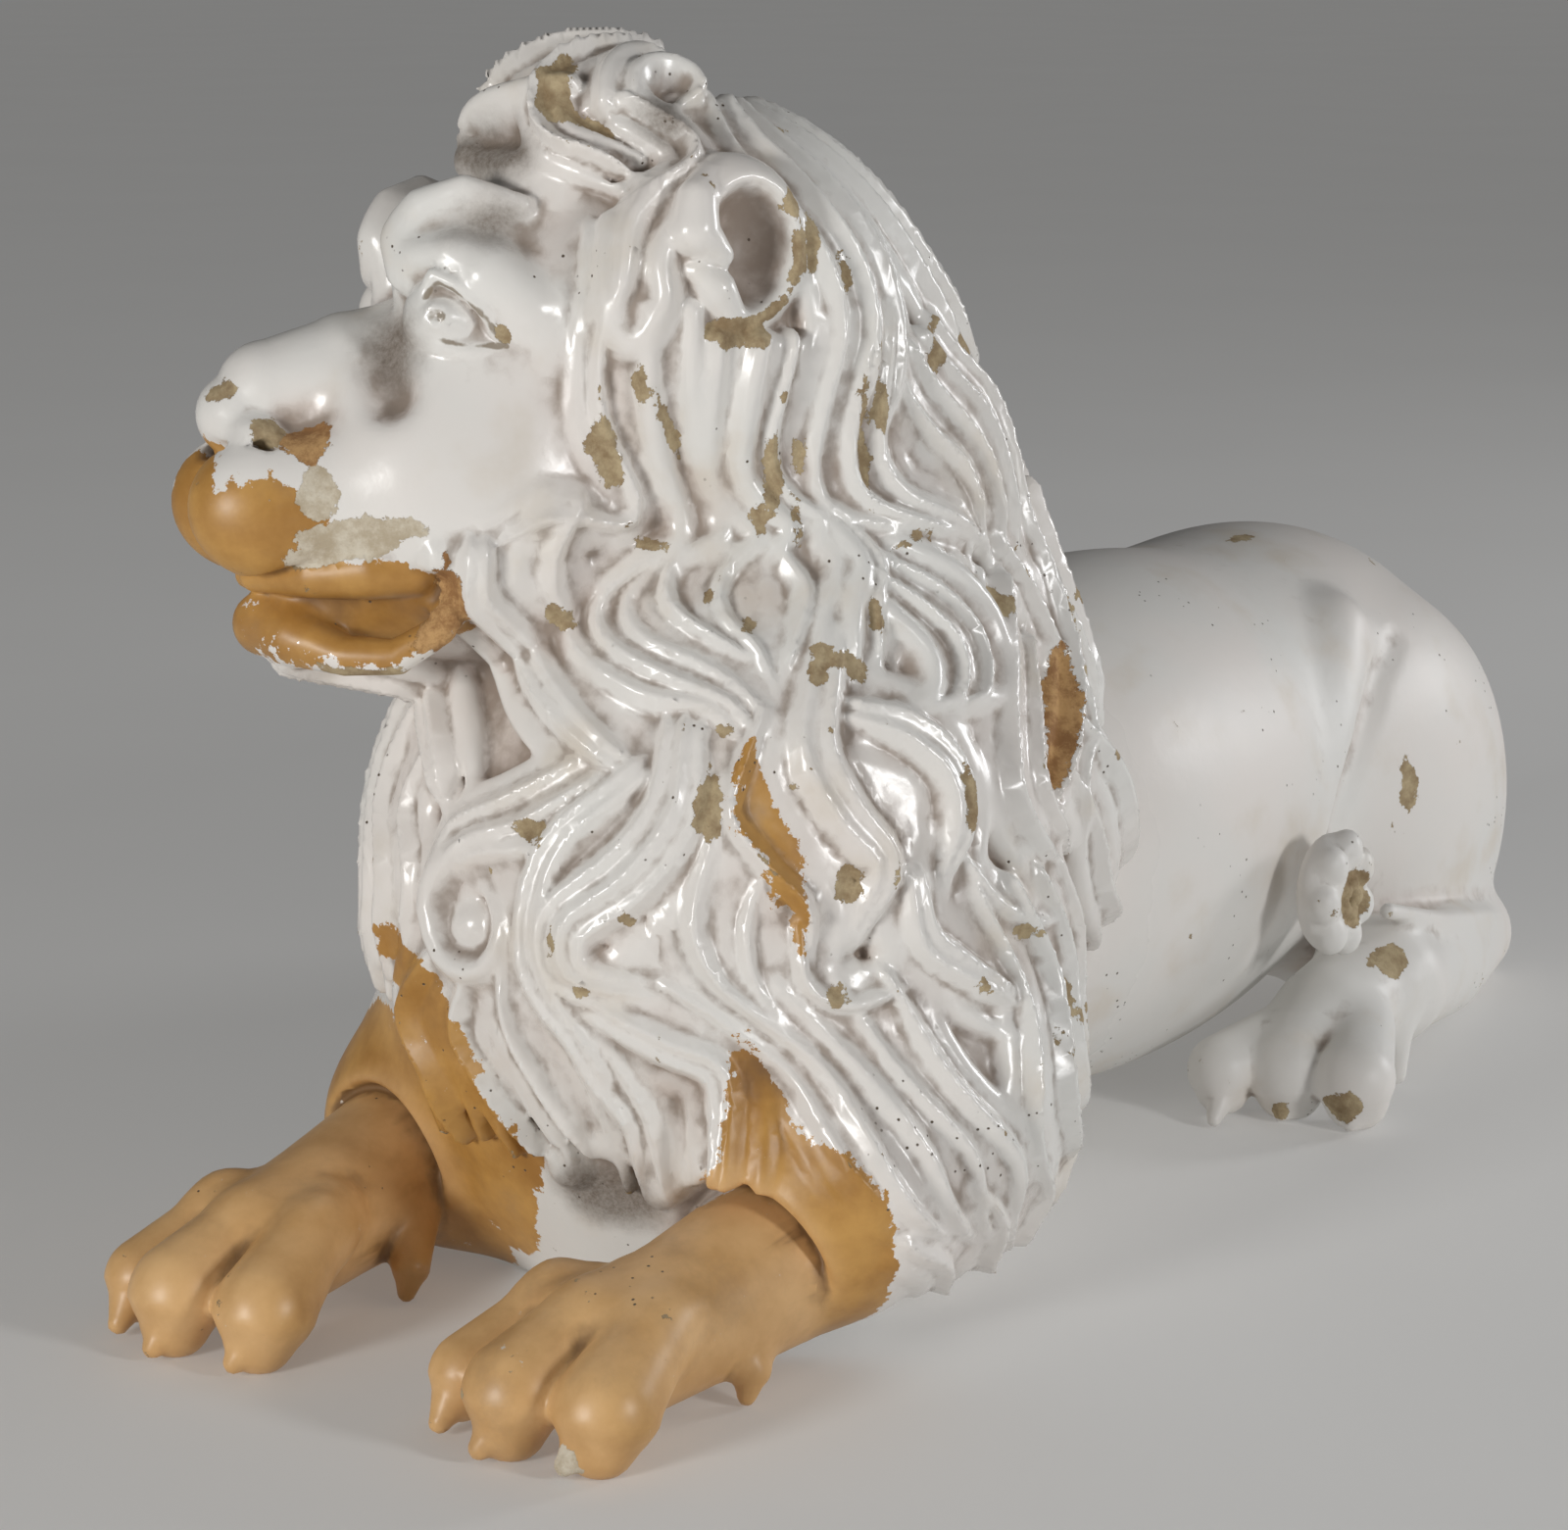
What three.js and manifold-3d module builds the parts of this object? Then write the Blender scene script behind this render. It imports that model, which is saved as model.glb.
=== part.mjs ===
// A lion of white and ochre glazed earthenware. It lies with its fore legs stretched out,
// its body along X with the head end at -X, and its head turned toward +Y.
// Millimetres, +Z up. The lion is one closed body that stands flat on the plane z = 0.
import * as THREE from 'three';
import Module from 'manifold-3d';

// Driving dimensions
const cell = 6; // spacing of the grid on which the surface is found
const triangles = 9600; // facets left once the surface has been thinned out
const shift = [-6.6, 1.3]; // brings the middle of the whole length and width to X = Y = 0
const room = { low: [-432, -190, -16], high: [442, 190, 528] }; // the space the lion fills
const headAt = [-215, 23, 395]; // middle of the head
const headTurn = [144, -2, 5]; // yaw, pitch and roll of the head in degrees
const maneAt = [-150, 3, 230]; // point from which every lock's place is given
const bodyHeight = 252; // back above the floor
const bodyWidth = 214; // barrel at its widest
const bodyLength = 460; // barrel from shoulder to croup
const maneWidth = 292; // mane across the shoulders
const maneDepth = 300; // mane from chest to back
const legRadius = 30; // fore leg
const pawSpan = 68; // between the outer toes of one fore paw
const lockSpread = 1.15; // locks are this much wider than the spacing they were laid out on
const lockFullness = 1.1; // and this much thicker
const valley = 3; // depth between the locks below the level on which they are laid

// Vectors
const add = (a, b, t = 1) => [a[0] + b[0] * t, a[1] + b[1] * t, a[2] + b[2] * t];
const sub = (a, b) => add(a, b, -1);
const dot = (a, b) => a[0] * b[0] + a[1] * b[1] + a[2] * b[2];
const cross = (a, b) => [
  a[1] * b[2] - a[2] * b[1],
  a[2] * b[0] - a[0] * b[2],
  a[0] * b[1] - a[1] * b[0],
];
const norm = (a) => Math.hypot(a[0], a[1], a[2]);
const unit = (a) => add([0, 0, 0], a, 1 / Math.max(norm(a), 1e-9));
const mix = (a, b, t) => a + (b - a) * t;

// The three turned axes after a roll about X, a pitch about Y and a yaw about Z
function axes(yaw, pitch, roll) {
  const turn = new THREE.Matrix4().makeRotationFromEuler(new THREE.Euler(
    THREE.MathUtils.degToRad(roll),
    THREE.MathUtils.degToRad(pitch),
    THREE.MathUtils.degToRad(yaw),
    'ZYX',
  ));
  const e = turn.elements;
  return [[e[0], e[1], e[2]], [e[4], e[5], e[6]], [e[8], e[9], e[10]]];
}

// Every shape is a function of a point: the distance to its skin, negative inside.
// low and high are the corners of the box that holds it.

// An ellipsoid
function ball(at, radii, turn = [0, 0, 0]) {
  const frame = axes(...turn);
  const reach = [0, 1, 2].map((i) => Math.hypot(...frame.map((f, j) => f[i] * radii[j])));
  const dist = (p) => {
    const q = sub(p, at);
    const u = frame.map((f, i) => dot(q, f) / radii[i]);
    const k = norm(u);
    const g = norm(u.map((x, i) => x / radii[i]));
    return k * (k - 1) / Math.max(g, 1e-9);
  };
  return { low: sub(at, reach), high: add(at, reach), dist };
}

// A chain of round bars; each knot is x, y, z and the radius there
function limb(...knots) {
  const low = [0, 1, 2].map((i) => Math.min(...knots.map((k) => k[i] - k[3])));
  const high = [0, 1, 2].map((i) => Math.max(...knots.map((k) => k[i] + k[3])));
  const dist = (p) => {
    let best = 1e9;
    for (let i = 0; i + 1 < knots.length; i += 1) {
      const a = knots[i];
      const b = knots[i + 1];
      const ab = sub(b, a);
      const t = Math.min(Math.max(dot(sub(p, a), ab) / dot(ab, ab), 0), 1);
      best = Math.min(best, norm(sub(p, add(a, ab, t))) - mix(a[3], b[3], t));
    }
    return best;
  };
  return { low, high, dist };
}

// The same shape laid in the head's own frame: X forward, Y to its left, Z up
const headAxes = axes(...headTurn);
function inHead(shape) {
  const low = [1e9, 1e9, 1e9];
  const high = [-1e9, -1e9, -1e9];
  for (let i = 0; i < 8; i += 1) {
    const c = [0, 1, 2].map((j) => ((i >> j) & 1 ? shape.high[j] : shape.low[j]));
    const w = headAxes.reduce((s, f, j) => add(s, f, c[j]), headAt);
    for (let j = 0; j < 3; j += 1) {
      low[j] = Math.min(low[j], w[j]);
      high[j] = Math.max(high[j], w[j]);
    }
  }
  const dist = (p) => {
    const q = sub(p, headAt);
    return shape.dist(headAxes.map((f) => dot(q, f)));
  };
  return { low, high, dist };
}

// The form is a list of steps, each of which joins or cuts a shape with a rounded seam
const steps = [];
const join = (shape, seam, list = steps) => list.push({ shape, seam, sign: 1 });
const carve = (shape, seam) => steps.push({ shape, seam, sign: -1 });
const fillet = (gap, k) => (k > 0 ? Math.max(k - Math.abs(gap), 0) ** 2 / (4 * k) : 0);
const rounded = (a, b, k) => Math.min(a, b) - fillet(a - b, k);

function form(p, list = steps, band = 24) {
  let d = 1000;
  for (const { shape, seam, sign } of list) {
    const r = band + seam;
    const { low, high } = shape;
    if (p[0] < low[0] - r || p[0] > high[0] + r) continue;
    if (p[1] < low[1] - r || p[1] > high[1] + r) continue;
    if (p[2] < low[2] - r || p[2] > high[2] + r) continue;
    const q = shape.dist(p);
    d = sign > 0 ? rounded(d, q, seam) : -rounded(-d, q, seam);
  }
  return d;
}

// Barrel, croup and thighs
const midHeight = bodyHeight / 2 + 2;
join(ball([120, -2, midHeight], [bodyLength / 2, bodyWidth / 2, bodyHeight / 2 - 2]), 0);
join(ball([300, 0, 134], [128, 104, 108], [0, 14, 0]), 40);
for (const s of [-1, 1]) {
  join(ball([318, s * 66, 96], [102, 50, 104], [0, 8, 0]), 22);
  // fold of the flank and the crease between it and the thigh
  join(limb([250, s * 70, 205, 16], [214, s * 78, 160, 22], [176, s * 82, 112, 24]), 14);
  carve(limb([284, s * 91, 200, 2], [255, s * 97, 186, 5], [232, s * 103, 164, 7], [206, s * 108, 134, 9],
    [186, s * 110, 104, 10]), 9);
  // shank on the floor from heel to hock, and the thin ridge along it
  join(limb([384, s * 84, 22, 24], [300, s * 104, 30, 30], [225, s * 118, 40, 30]), 16);
  join(limb([392, s * 94, 30, 3], [336, s * 118, 46, 4], [262, s * 128, 64, 4], [196, s * 134, 84, 4]), 10);
  // hind foot with three toes, each with a knuckle and a claw, and a dewclaw
  join(limb([215, s * 118, 40, 28], [165, s * 120, 36, 26], [140, s * 122, 30, 20]), 14);
  for (const [tipX, tipY, toeX, toeY, toeR] of [[83, 105, 103, 98, 15], [109, 126, 122, 123, 19],
    [115, 159, 126, 156, 18]]) {
    join(limb([165, s * (toeY + 120) / 2, 34, toeR * 0.9], [toeX, s * toeY, 24, toeR]), 6);
    join(limb([toeX, s * toeY, 20, toeR], [toeX + 2, s * toeY, 13, toeR * 0.85]), 4);
    join(limb([toeX - 4, s * (toeY + tipY) / 2, 13, 8], [tipX + 2, s * tipY, 4, 3.5]), 4);
  }
  join(limb([205, s * 136, 44, 9], [196, s * 142, 18, 6], [193, s * 143, 5, 5]), 8);
}

// Mass of the mane, on whose level the locks are laid; between them the form lies a little deeper
const core = steps.slice();
for (const [at, radii, turn, seam] of [
  [[-160, -3, 150], [maneDepth / 2, maneWidth / 2, 185], [0, 0, 0], 50],
  [[-165, -8, 72], [108, maneWidth / 2, 104], [0, 0, 0], 40],
  [[-62, -3, 170], [72, 122, 138], [0, 0, 0], 30],
  [[-114, 3, 290], [112, 104, 144], [0, -12, 0], 40],
  [[-176, 10, 400], [88, 88, 80], [0, 0, 0], 40],
]) {
  join(ball(at, radii, turn), seam, core);
  join(ball(at, radii.map((r) => r - valley), turn), seam);
}

// Head: skull, nose, muzzle, cheeks and jaw, and the hair above the elbows
for (const list of [core, steps]) {
  join(inHead(ball([-8, 0, 8], [68, 64, 64])), 30, list);
  for (const s of [1, -1]) join(inHead(ball([30, s * 26, -5], [46, 32, 34])), 16, list);
  join(inHead(limb([60, 0, -22, 34], [93, 0, -23, 28], [127, 0, -26, 20], [139, 0, -34, 15])), 16, list);
  for (const s of [1, -1]) join(inHead(ball([128, s * 19, -70], [34, 25, 29])), 8, list);
  for (const s of [1, -1]) join(inHead(ball([46, s * 30, -62], [64, 37, 56])), 24, list);
  join(inHead(limb([44, 0, -102, 40], [98, 0, -112, 27], [109, 0, -115, 23])), 14, list);
  join(inHead(ball([-10, 0, 72], [44, 44, 30])), 20, list);
  join(limb([-185, -100, 85, 66], [-236, -110, 62, 52]), 30, list);
  join(limb([-180, 90, 70, 58], [-228, 92, 50, 52]), 30, list);
}

// The mane is carved as locks. Each lies on the mass along a curve through its places, from its root
// to its tip. A place is a bearing round maneAt, 0 at the chest and 90 on the near side, and a height
// above the level, both in degrees. A fan runs evenly from one edge lock to the other.
// Rows: count, width, thickness, edge lock, and for a fan the other edge lock.
const fans = [
  // single locks of the near side
  [1, 18, 10, [43, 10, 40, 3, 38, -4, 43, -11, 48, -16, 49, -23]],
  [1, 30, 10, [57, 23, 53, 13, 51, 4, 55, -5, 60, -12, 56, -20]],
  [1, 27, 11, [60, 9, 67, 6, 73, 0, 74, -7, 71, -15]],
  [1, 20, 9, [108, 26, 100, 14, 92, 4, 88, -6, 92, -14, 102, -20]],
  [1, 16, 8, [112, 14, 104, 4, 97, -5, 99, -12, 108, -19]],
  [1, 18, 11, [126, 24, 125, 13, 121, 3, 113, -5, 101, -12]],
  [1, 16, 8, [128, 6, 124, -4, 116, -11, 115, -20]],
  [1, 36, 11, [31, 6, 30, -4, 24, -12, 16, -18, 17, -24, 28, -26]],
  [1, 24, 10, [0, 29, -1, 24, 4, 16, 11, 10, 18, 5, 25, 1]],
  [1, 18, 8, [50, 40, 54, 32, 51, 24, 47, 16]],
  [1, 18, 8, [37, 0, 35, -9, 33, -18, 37, -25, 46, -31]],
  [1, 14, 7, [42, -12, 40, -19, 42, -26, 50, -33]],
  [1, 17, 9, [47, -19, 48, -25, 54, -28, 63, -27]],
  [1, 22, 9, [65, -15, 66, -22, 73, -27, 82, -31]],
  [1, 16, 7, [75, -14, 80, -20, 88, -24, 98, -26]],
  // middle of the near side
  [4, 14, 8, [65, 32, 72, 25, 77, 17, 73, 10, 63, 9], [78, 39, 92, 31, 99, 20, 95, 9, 79, 7]],
  [3, 17, 8, [27, 39, 18, 31, 22, 23, 34, 18, 42, 12, 44, 5],
    [10, 39, 6, 28, 12, 19, 24, 13, 35, 11, 41, 4]],
  [3, 13, 8, [57, 46, 62, 36, 57, 27, 54, 16], [66, 45, 72, 36, 68, 27, 66, 17]],
  [2, 15, 8, [47, 42, 38, 36, 37, 28, 43, 21, 46, 13], [37, 43, 27, 37, 27, 29, 35, 23, 43, 19]],
  [4, 18, 8, [112, 32, 118, 22, 122, 10, 127, 0], [152, 34, 146, 20, 146, 6, 140, -8]],
  [3, 20, 9, [112, -8, 118, -18, 122, -26, 136, -32], [128, 5, 138, -5, 143, -14, 153, -22]],
  // beside the face and under the ear
  [3, 13, 7, [31, 59, 31, 52, 36, 47, 36, 42, 28, 38, 20, 33],
    [15, 57, 13, 50, 17, 45, 15, 41, 8, 37, 2, 31]],
  [3, 13, 8, [36, 58, 34, 52, 42, 46, 45, 42, 38, 39], [53, 60, 48, 54, 54, 49, 60, 45, 58, 39]],
  [1, 13, 6, [14, 63, 17, 56, 24, 57, 28, 62]],
  // from the crown round behind the ear
  [3, 19, 8, [30, 78, 46, 71, 60, 67, 66, 62, 60, 55], [45, 81, 75, 72, 86, 66, 86, 60, 80, 54]],
  [3, 17, 8, [66, 62, 60, 54, 63, 47, 76, 42, 90, 40], [84, 64, 78, 54, 84, 46, 96, 40, 106, 34]],
  [4, 17, 8, [85, 60, 97, 52, 105, 45, 106, 33], [112, 62, 125, 52, 126, 42, 125, 28]],
  [4, 24, 8, [60, 84, 95, 75, 115, 67, 128, 56], [100, 87, 150, 76, 165, 66, 158, 50]],
  // over the near shoulder and down the chest
  [5, 18, 8, [30, -25, 36, -28, 44, -33, 51, -37, 57, -40], [60, -26, 66, -34, 76, -41, 77, -47, 84, -54]],
  [4, 19, 9, [76, -18, 82, -30, 80, -40, 90, -50], [100, -20, 106, -30, 102, -38, 113, -47]],
  [1, 24, 10, [24, 1, 14, -8, 11, -17, 12, -25, 19, -33, 22, -43]],
  [1, 16, 8, [6, -24, 7, -31, 12, -38, 17, -44]],
  [1, 22, 10, [18, -27, 28, -31, 36, -34, 38, -40, 35, -46]],
  [2, 15, 8, [20, -30, 24, -35, 28, -41, 30, -47], [15, -28, 19, -35, 24, -40, 26, -47]],
  [3, 16, 8, [14, 2, 4, -4, -5, -9, -9, -20], [22, -2, 12, -9, 3, -11, -4, -14]],
  [2, 21, 8, [0, -26, -3, -33, 1, -38, 7, -45], [-8, -26, -14, -33, -10, -39, -8, -46]],
  [1, 12, 8, [10, -9, 2, -10, -5, -13, -8, -19, -4, -25, 3, -25, 6, -20, 2, -16]],
  [1, 22, 9, [-24, 12, -18, 6, -12, 0, -9, -6]],
  [3, 20, 7, [-14, 2, -18, -8, -14, -17, -15, -28], [-34, 6, -33, -8, -28, -20, -30, -34]],
  // far side and back, plainer
  [8, 25, 8, [172, 72, 176, 62, 170, 52, 176, 40], [292, 74, 286, 64, 294, 54, 288, 40]],
  [8, 25, 8, [165, 42, 160, 30, 168, 18, 164, 8], [290, 44, 296, 32, 288, 20, 296, 8]],
  [7, 26, 8, [206, 14, 200, 2, 208, -10, 204, -22], [296, 14, 290, 2, 298, -12, 294, -22]],
  [7, 24, 8, [222, -18, 228, -28, 220, -38, 230, -48], [290, -18, 284, -28, 290, -36, 284, -44]],
];

// Locks of the forelock and the temples: width, thickness, and places in the head's own frame
const headLocks = [
  [24, 11, [[-34, -12, 104], [0, -18, 108], [26, -16, 100], [38, -8, 90], [38, 2, 80]]],
  [22, 10, [[-36, 4, 106], [-12, 8, 111], [14, 6, 106], [32, 10, 96], [36, 18, 84]]],
  [26, 12, [[-34, 14, 104], [-10, 26, 104], [14, 30, 98], [28, 32, 86], [26, 40, 74], [10, 46, 70]]],
  [22, 11, [[-32, 26, 98], [-12, 42, 84], [-4, 54, 64], [-12, 60, 42], [2, 62, 22], [-3, 64, 0]]],
  [18, 9, [[-44, 36, 92], [-28, 52, 74], [-20, 60, 58], [-8, 60, 48]]],
  [22, 10, [[-34, -26, 100], [-6, -38, 94], [18, -40, 82], [32, -32, 70]]],
  [20, 10, [[-36, -38, 92], [-14, -54, 74], [-6, -60, 52], [-14, -64, 30]]],
];

// Direction out of the mass, from the difference of its distance either way along each axis
function slope(at) {
  const e = 5;
  return unit([0, 1, 2].map((i) => {
    const step = [0, 0, 0];
    step[i] = e;
    return form(add(at, step), core, 60) - form(sub(at, step), core, 60);
  }));
}

// Point of the mass under a bearing and a height: the ray from outside is stepped in by the distance
function onMass(bearing, height) {
  const b = THREE.MathUtils.degToRad(bearing);
  const h = THREE.MathUtils.degToRad(height);
  const way = [-Math.cos(h) * Math.cos(b), -Math.cos(h) * Math.sin(b), Math.sin(h)];
  let r = 330;
  for (let i = 0; i < 22; i += 1) r -= form(add(maneAt, way, r), core, 400) * 0.9;
  return add(maneAt, way, r);
}

// Point of the mass nearest to a place in the head's own frame
function onHead(place) {
  let at = headAxes.reduce((sum, f, i) => add(sum, f, place[i]), headAt);
  for (let i = 0; i < 3; i += 1) at = add(at, slope(at), -form(at, core, 60));
  return at;
}

// Smooth curve through a row of numbers, t from 0 to one less than their count
function through(v, t) {
  const n = v.length;
  const p = [2 * v[0] - v[1], ...v, 2 * v[n - 1] - v[n - 2]];
  const i = Math.min(Math.floor(t), n - 2);
  const u = t - i;
  const [a, b, c, d] = p.slice(i, i + 4);
  const bend = 2 * a - 5 * b + 4 * c - d;
  const twist = 3 * b - 3 * c + d - a;
  return 0.5 * (2 * b + (c - a) * u + bend * u * u + twist * u ** 3);
}

// One lock: a flattened bar along its curve, narrow at the root, full at the middle, pointed at the
// tip. places is a row of numbers for each coordinate, and lay puts a place on the mass.
const knotsPerLock = 15;
function lock(places, lay, width, thickness) {
  const line = [];
  for (let i = 0; i < knotsPerLock; i += 1) {
    const u = i / (knotsPerLock - 1);
    const at = lay(places.map((v) => through(v, u * (v.length - 1))));
    const out = slope(at);
    const fullness = 0.08 + 0.92 * Math.sin(Math.PI * (0.16 + 0.8 * u) ** 0.9) ** 0.7;
    line.push({
      at: add(at, out, thickness * 0.35 * u),
      out,
      half: width / 2 * fullness,
      thick: thickness * lockFullness * (0.5 + 0.5 * fullness),
    });
  }
  line.forEach((k, i) => {
    const before = line[Math.max(i - 1, 0)];
    const after = line[Math.min(i + 1, line.length - 1)];
    k.along = unit(sub(after.at, before.at));
    k.out = unit(add(k.out, k.along, -dot(k.out, k.along)));
    k.across = cross(k.along, k.out);
  });
  const reach = Math.max(...line.map((k) => k.half)) + 4;
  const low = [0, 1, 2].map((i) => Math.min(...line.map((k) => k.at[i])) - reach);
  const high = [0, 1, 2].map((i) => Math.max(...line.map((k) => k.at[i])) + reach);
  const dist = (p) => {
    let nearest = 1e9;
    let found = 1e3;
    for (let i = 0; i + 1 < line.length; i += 1) {
      const a = line[i];
      const b = line[i + 1];
      const ab = sub(b.at, a.at);
      const t = Math.min(Math.max(dot(sub(p, a.at), ab) / dot(ab, ab), 0), 1);
      const q = sub(p, add(a.at, ab, t));
      const far = dot(q, q);
      if (far >= nearest) continue;
      nearest = far;
      const half = mix(a.half, b.half, t);
      const thick = mix(a.thick, b.thick, t);
      const side = mix(dot(q, a.across), dot(q, b.across), t) / half;
      const up = mix(dot(q, a.out), dot(q, b.out), t) / thick;
      const end = mix(dot(q, a.along), dot(q, b.along), t) / half;
      found = (Math.hypot(side, up, end) - 1) * Math.min(thick, half);
    }
    return found;
  };
  return { low, high, dist, line };
}

const lockSeam = 5; // fillet between a lock and what lies under it
for (const [count, width, thickness, first, last = first] of fans) {
  for (let i = 0; i < count; i += 1) {
    const f = count > 1 ? i / (count - 1) : 0;
    const wider = count > 1 ? 1 + 0.12 * ((i * 7) % 3 - 1) : 1;
    const thicker = count > 1 ? 1 + 0.1 * ((i * 5) % 3 - 1) : 1;
    const numbers = first.map((v, j) => mix(v, last[j], f));
    const places = [0, 1].map((k) => numbers.filter((_, j) => j % 2 === k));
    const lay = ([bearing, height]) => onMass(bearing, height);
    const one = lock(places, lay, lockSpread * width * wider, thickness * thicker);
    // a lock that would run out over the back is left off
    if (one.line.every((k) => k.at[0] < 34)) join(one, lockSeam);
  }
}
for (const [width, thickness, spots] of headLocks) {
  const places = [0, 1, 2].map((i) => spots.map((spot) => spot[i]));
  join(lock(places, onHead, width, thickness), lockSeam);
}

// Fore legs: a gap inside the hair at the elbow, arm, wrist, toes with knuckles and claws, dewclaw
function foreLeg({ y, elbow, claws, toesAt, dew }) {
  const [ex, ey, ez, er] = elbow;
  carve(limb([-340, y, 30, 50], [ex - 10, ey, ez + 2, er + 6]), 6);
  const wrist = [-350, y, 30, legRadius - 2];
  join(limb([ex + 40, ey, ez, er], elbow, [-310, (y + ey) / 2, 34, legRadius], wrist), 5);
  const toes = [[-386, 22, 15], [-394, 25, 17], [-388, 24, 19]];
  toes.forEach(([toeX, toeZ, toeR], i) => {
    const toeY = y + toesAt[i] * pawSpan;
    const back = [toeX + 22, (toeY * 4 + y) / 5, 33, toeR * 0.95];
    join(limb([-330, (toeY + y) / 2, 42, toeR * 0.8], back, [toeX + 4, toeY, toeZ, toeR]), 5);
    join(limb([toeX + 2, toeY, toeZ - 4, toeR], [toeX - 2, toeY, 12, toeR * 0.8]), 3);
    join(limb([toeX - 4, (toeY + claws[i]) / 2, 14, 8], [toeX - 16, claws[i], 4, 3.6]), 3);
  });
  join(limb([dew[0] + 14, dew[1] + 13, 24, 12], [dew[0], dew[1], 14, 8], [dew[0] - 3, dew[1], 4, 4]), 6);
}
foreLeg({
  y: -96,
  elbow: [-262, -104, 40, 34],
  claws: [-50, -78, -113],
  toesAt: [0.68, 0.2, -0.34],
  dew: [-303, -125],
});
foreLeg({
  y: 84,
  elbow: [-258, 92, 40, 34],
  claws: [119, 90, 53],
  toesAt: [0.56, 0.09, -0.48],
  dew: [-298, 52],
});

// Tuft of the tail on the near flank: a rosette of seven petals, its middle lost
const tuftAt = [150, -128, 103];
join(ball(tuftAt, [19, 11, 27], [0, -12, 0]), 4);
for (let petal = 0; petal < 7; petal += 1) {
  const turn = 0.5 + petal * 2 * Math.PI / 7;
  const at = add(tuftAt, [12 * Math.cos(turn), -5, 19 * Math.sin(turn)]);
  join(ball(at, [7.5, 7, 9.5], [0, 20 * Math.cos(turn), 0]), 1.5);
}
carve(ball(add(tuftAt, [2, -14, -2]), [9, 8, 12]), 3);

// Brows, hollows, eyes, nose tip, split upper lip, open mouth, lower lip and ears
join(inHead(ball([141, 0, -36], [13, 17, 14])), 5);
for (const s of [1, -1]) {
  join(inHead(ball([67, 23 * s, 24], [20, 19, 27])), 6);
  join(inHead(limb([66, 24 * s, 40, 13], [56, 36 * s, 35, 17], [43, 45 * s, 23, 18], [31, 51 * s, 6, 15],
    [27, 53 * s, -10, 10])), 8);
  carve(inHead(limb([74, 2 * s, 68, 6], [50, 46 * s, 65, 8], [24, 68 * s, 50, 6])), 12);
  carve(inHead(limb([94, 32 * s, -6, 6], [88, 44 * s, -26, 7])), 14);
  join(inHead(ball([62, 41 * s, 3], [19, 16, 16])), 1);
  join(inHead(ball([135, 17 * s, -43], [11, 11, 9])), 4);
  carve(inHead(limb([142, 6 * s, -99, 5], [116, 40 * s, -101, 11], [96, 52 * s, -102, 12],
    [74, 58 * s, -102, 8])), 3);
  join(inHead(limb([134, 6 * s, -97, 7], [116, 30 * s, -98, 10], [92, 42 * s, -98, 11],
    [76, 47 * s, -99, 7])), 1);
  join(inHead(limb([129, 0, -116, 9], [117, 20 * s, -121, 11], [95, 38 * s, -121, 11],
    [72, 49 * s, -110, 7])), 4);
  join(inHead(ball([-48, 62 * s, 30], [33, 24, 36])), 8);
  carve(inHead(ball([-46, 92 * s, 28], [25, 24, 28])), 4);
}

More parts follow.
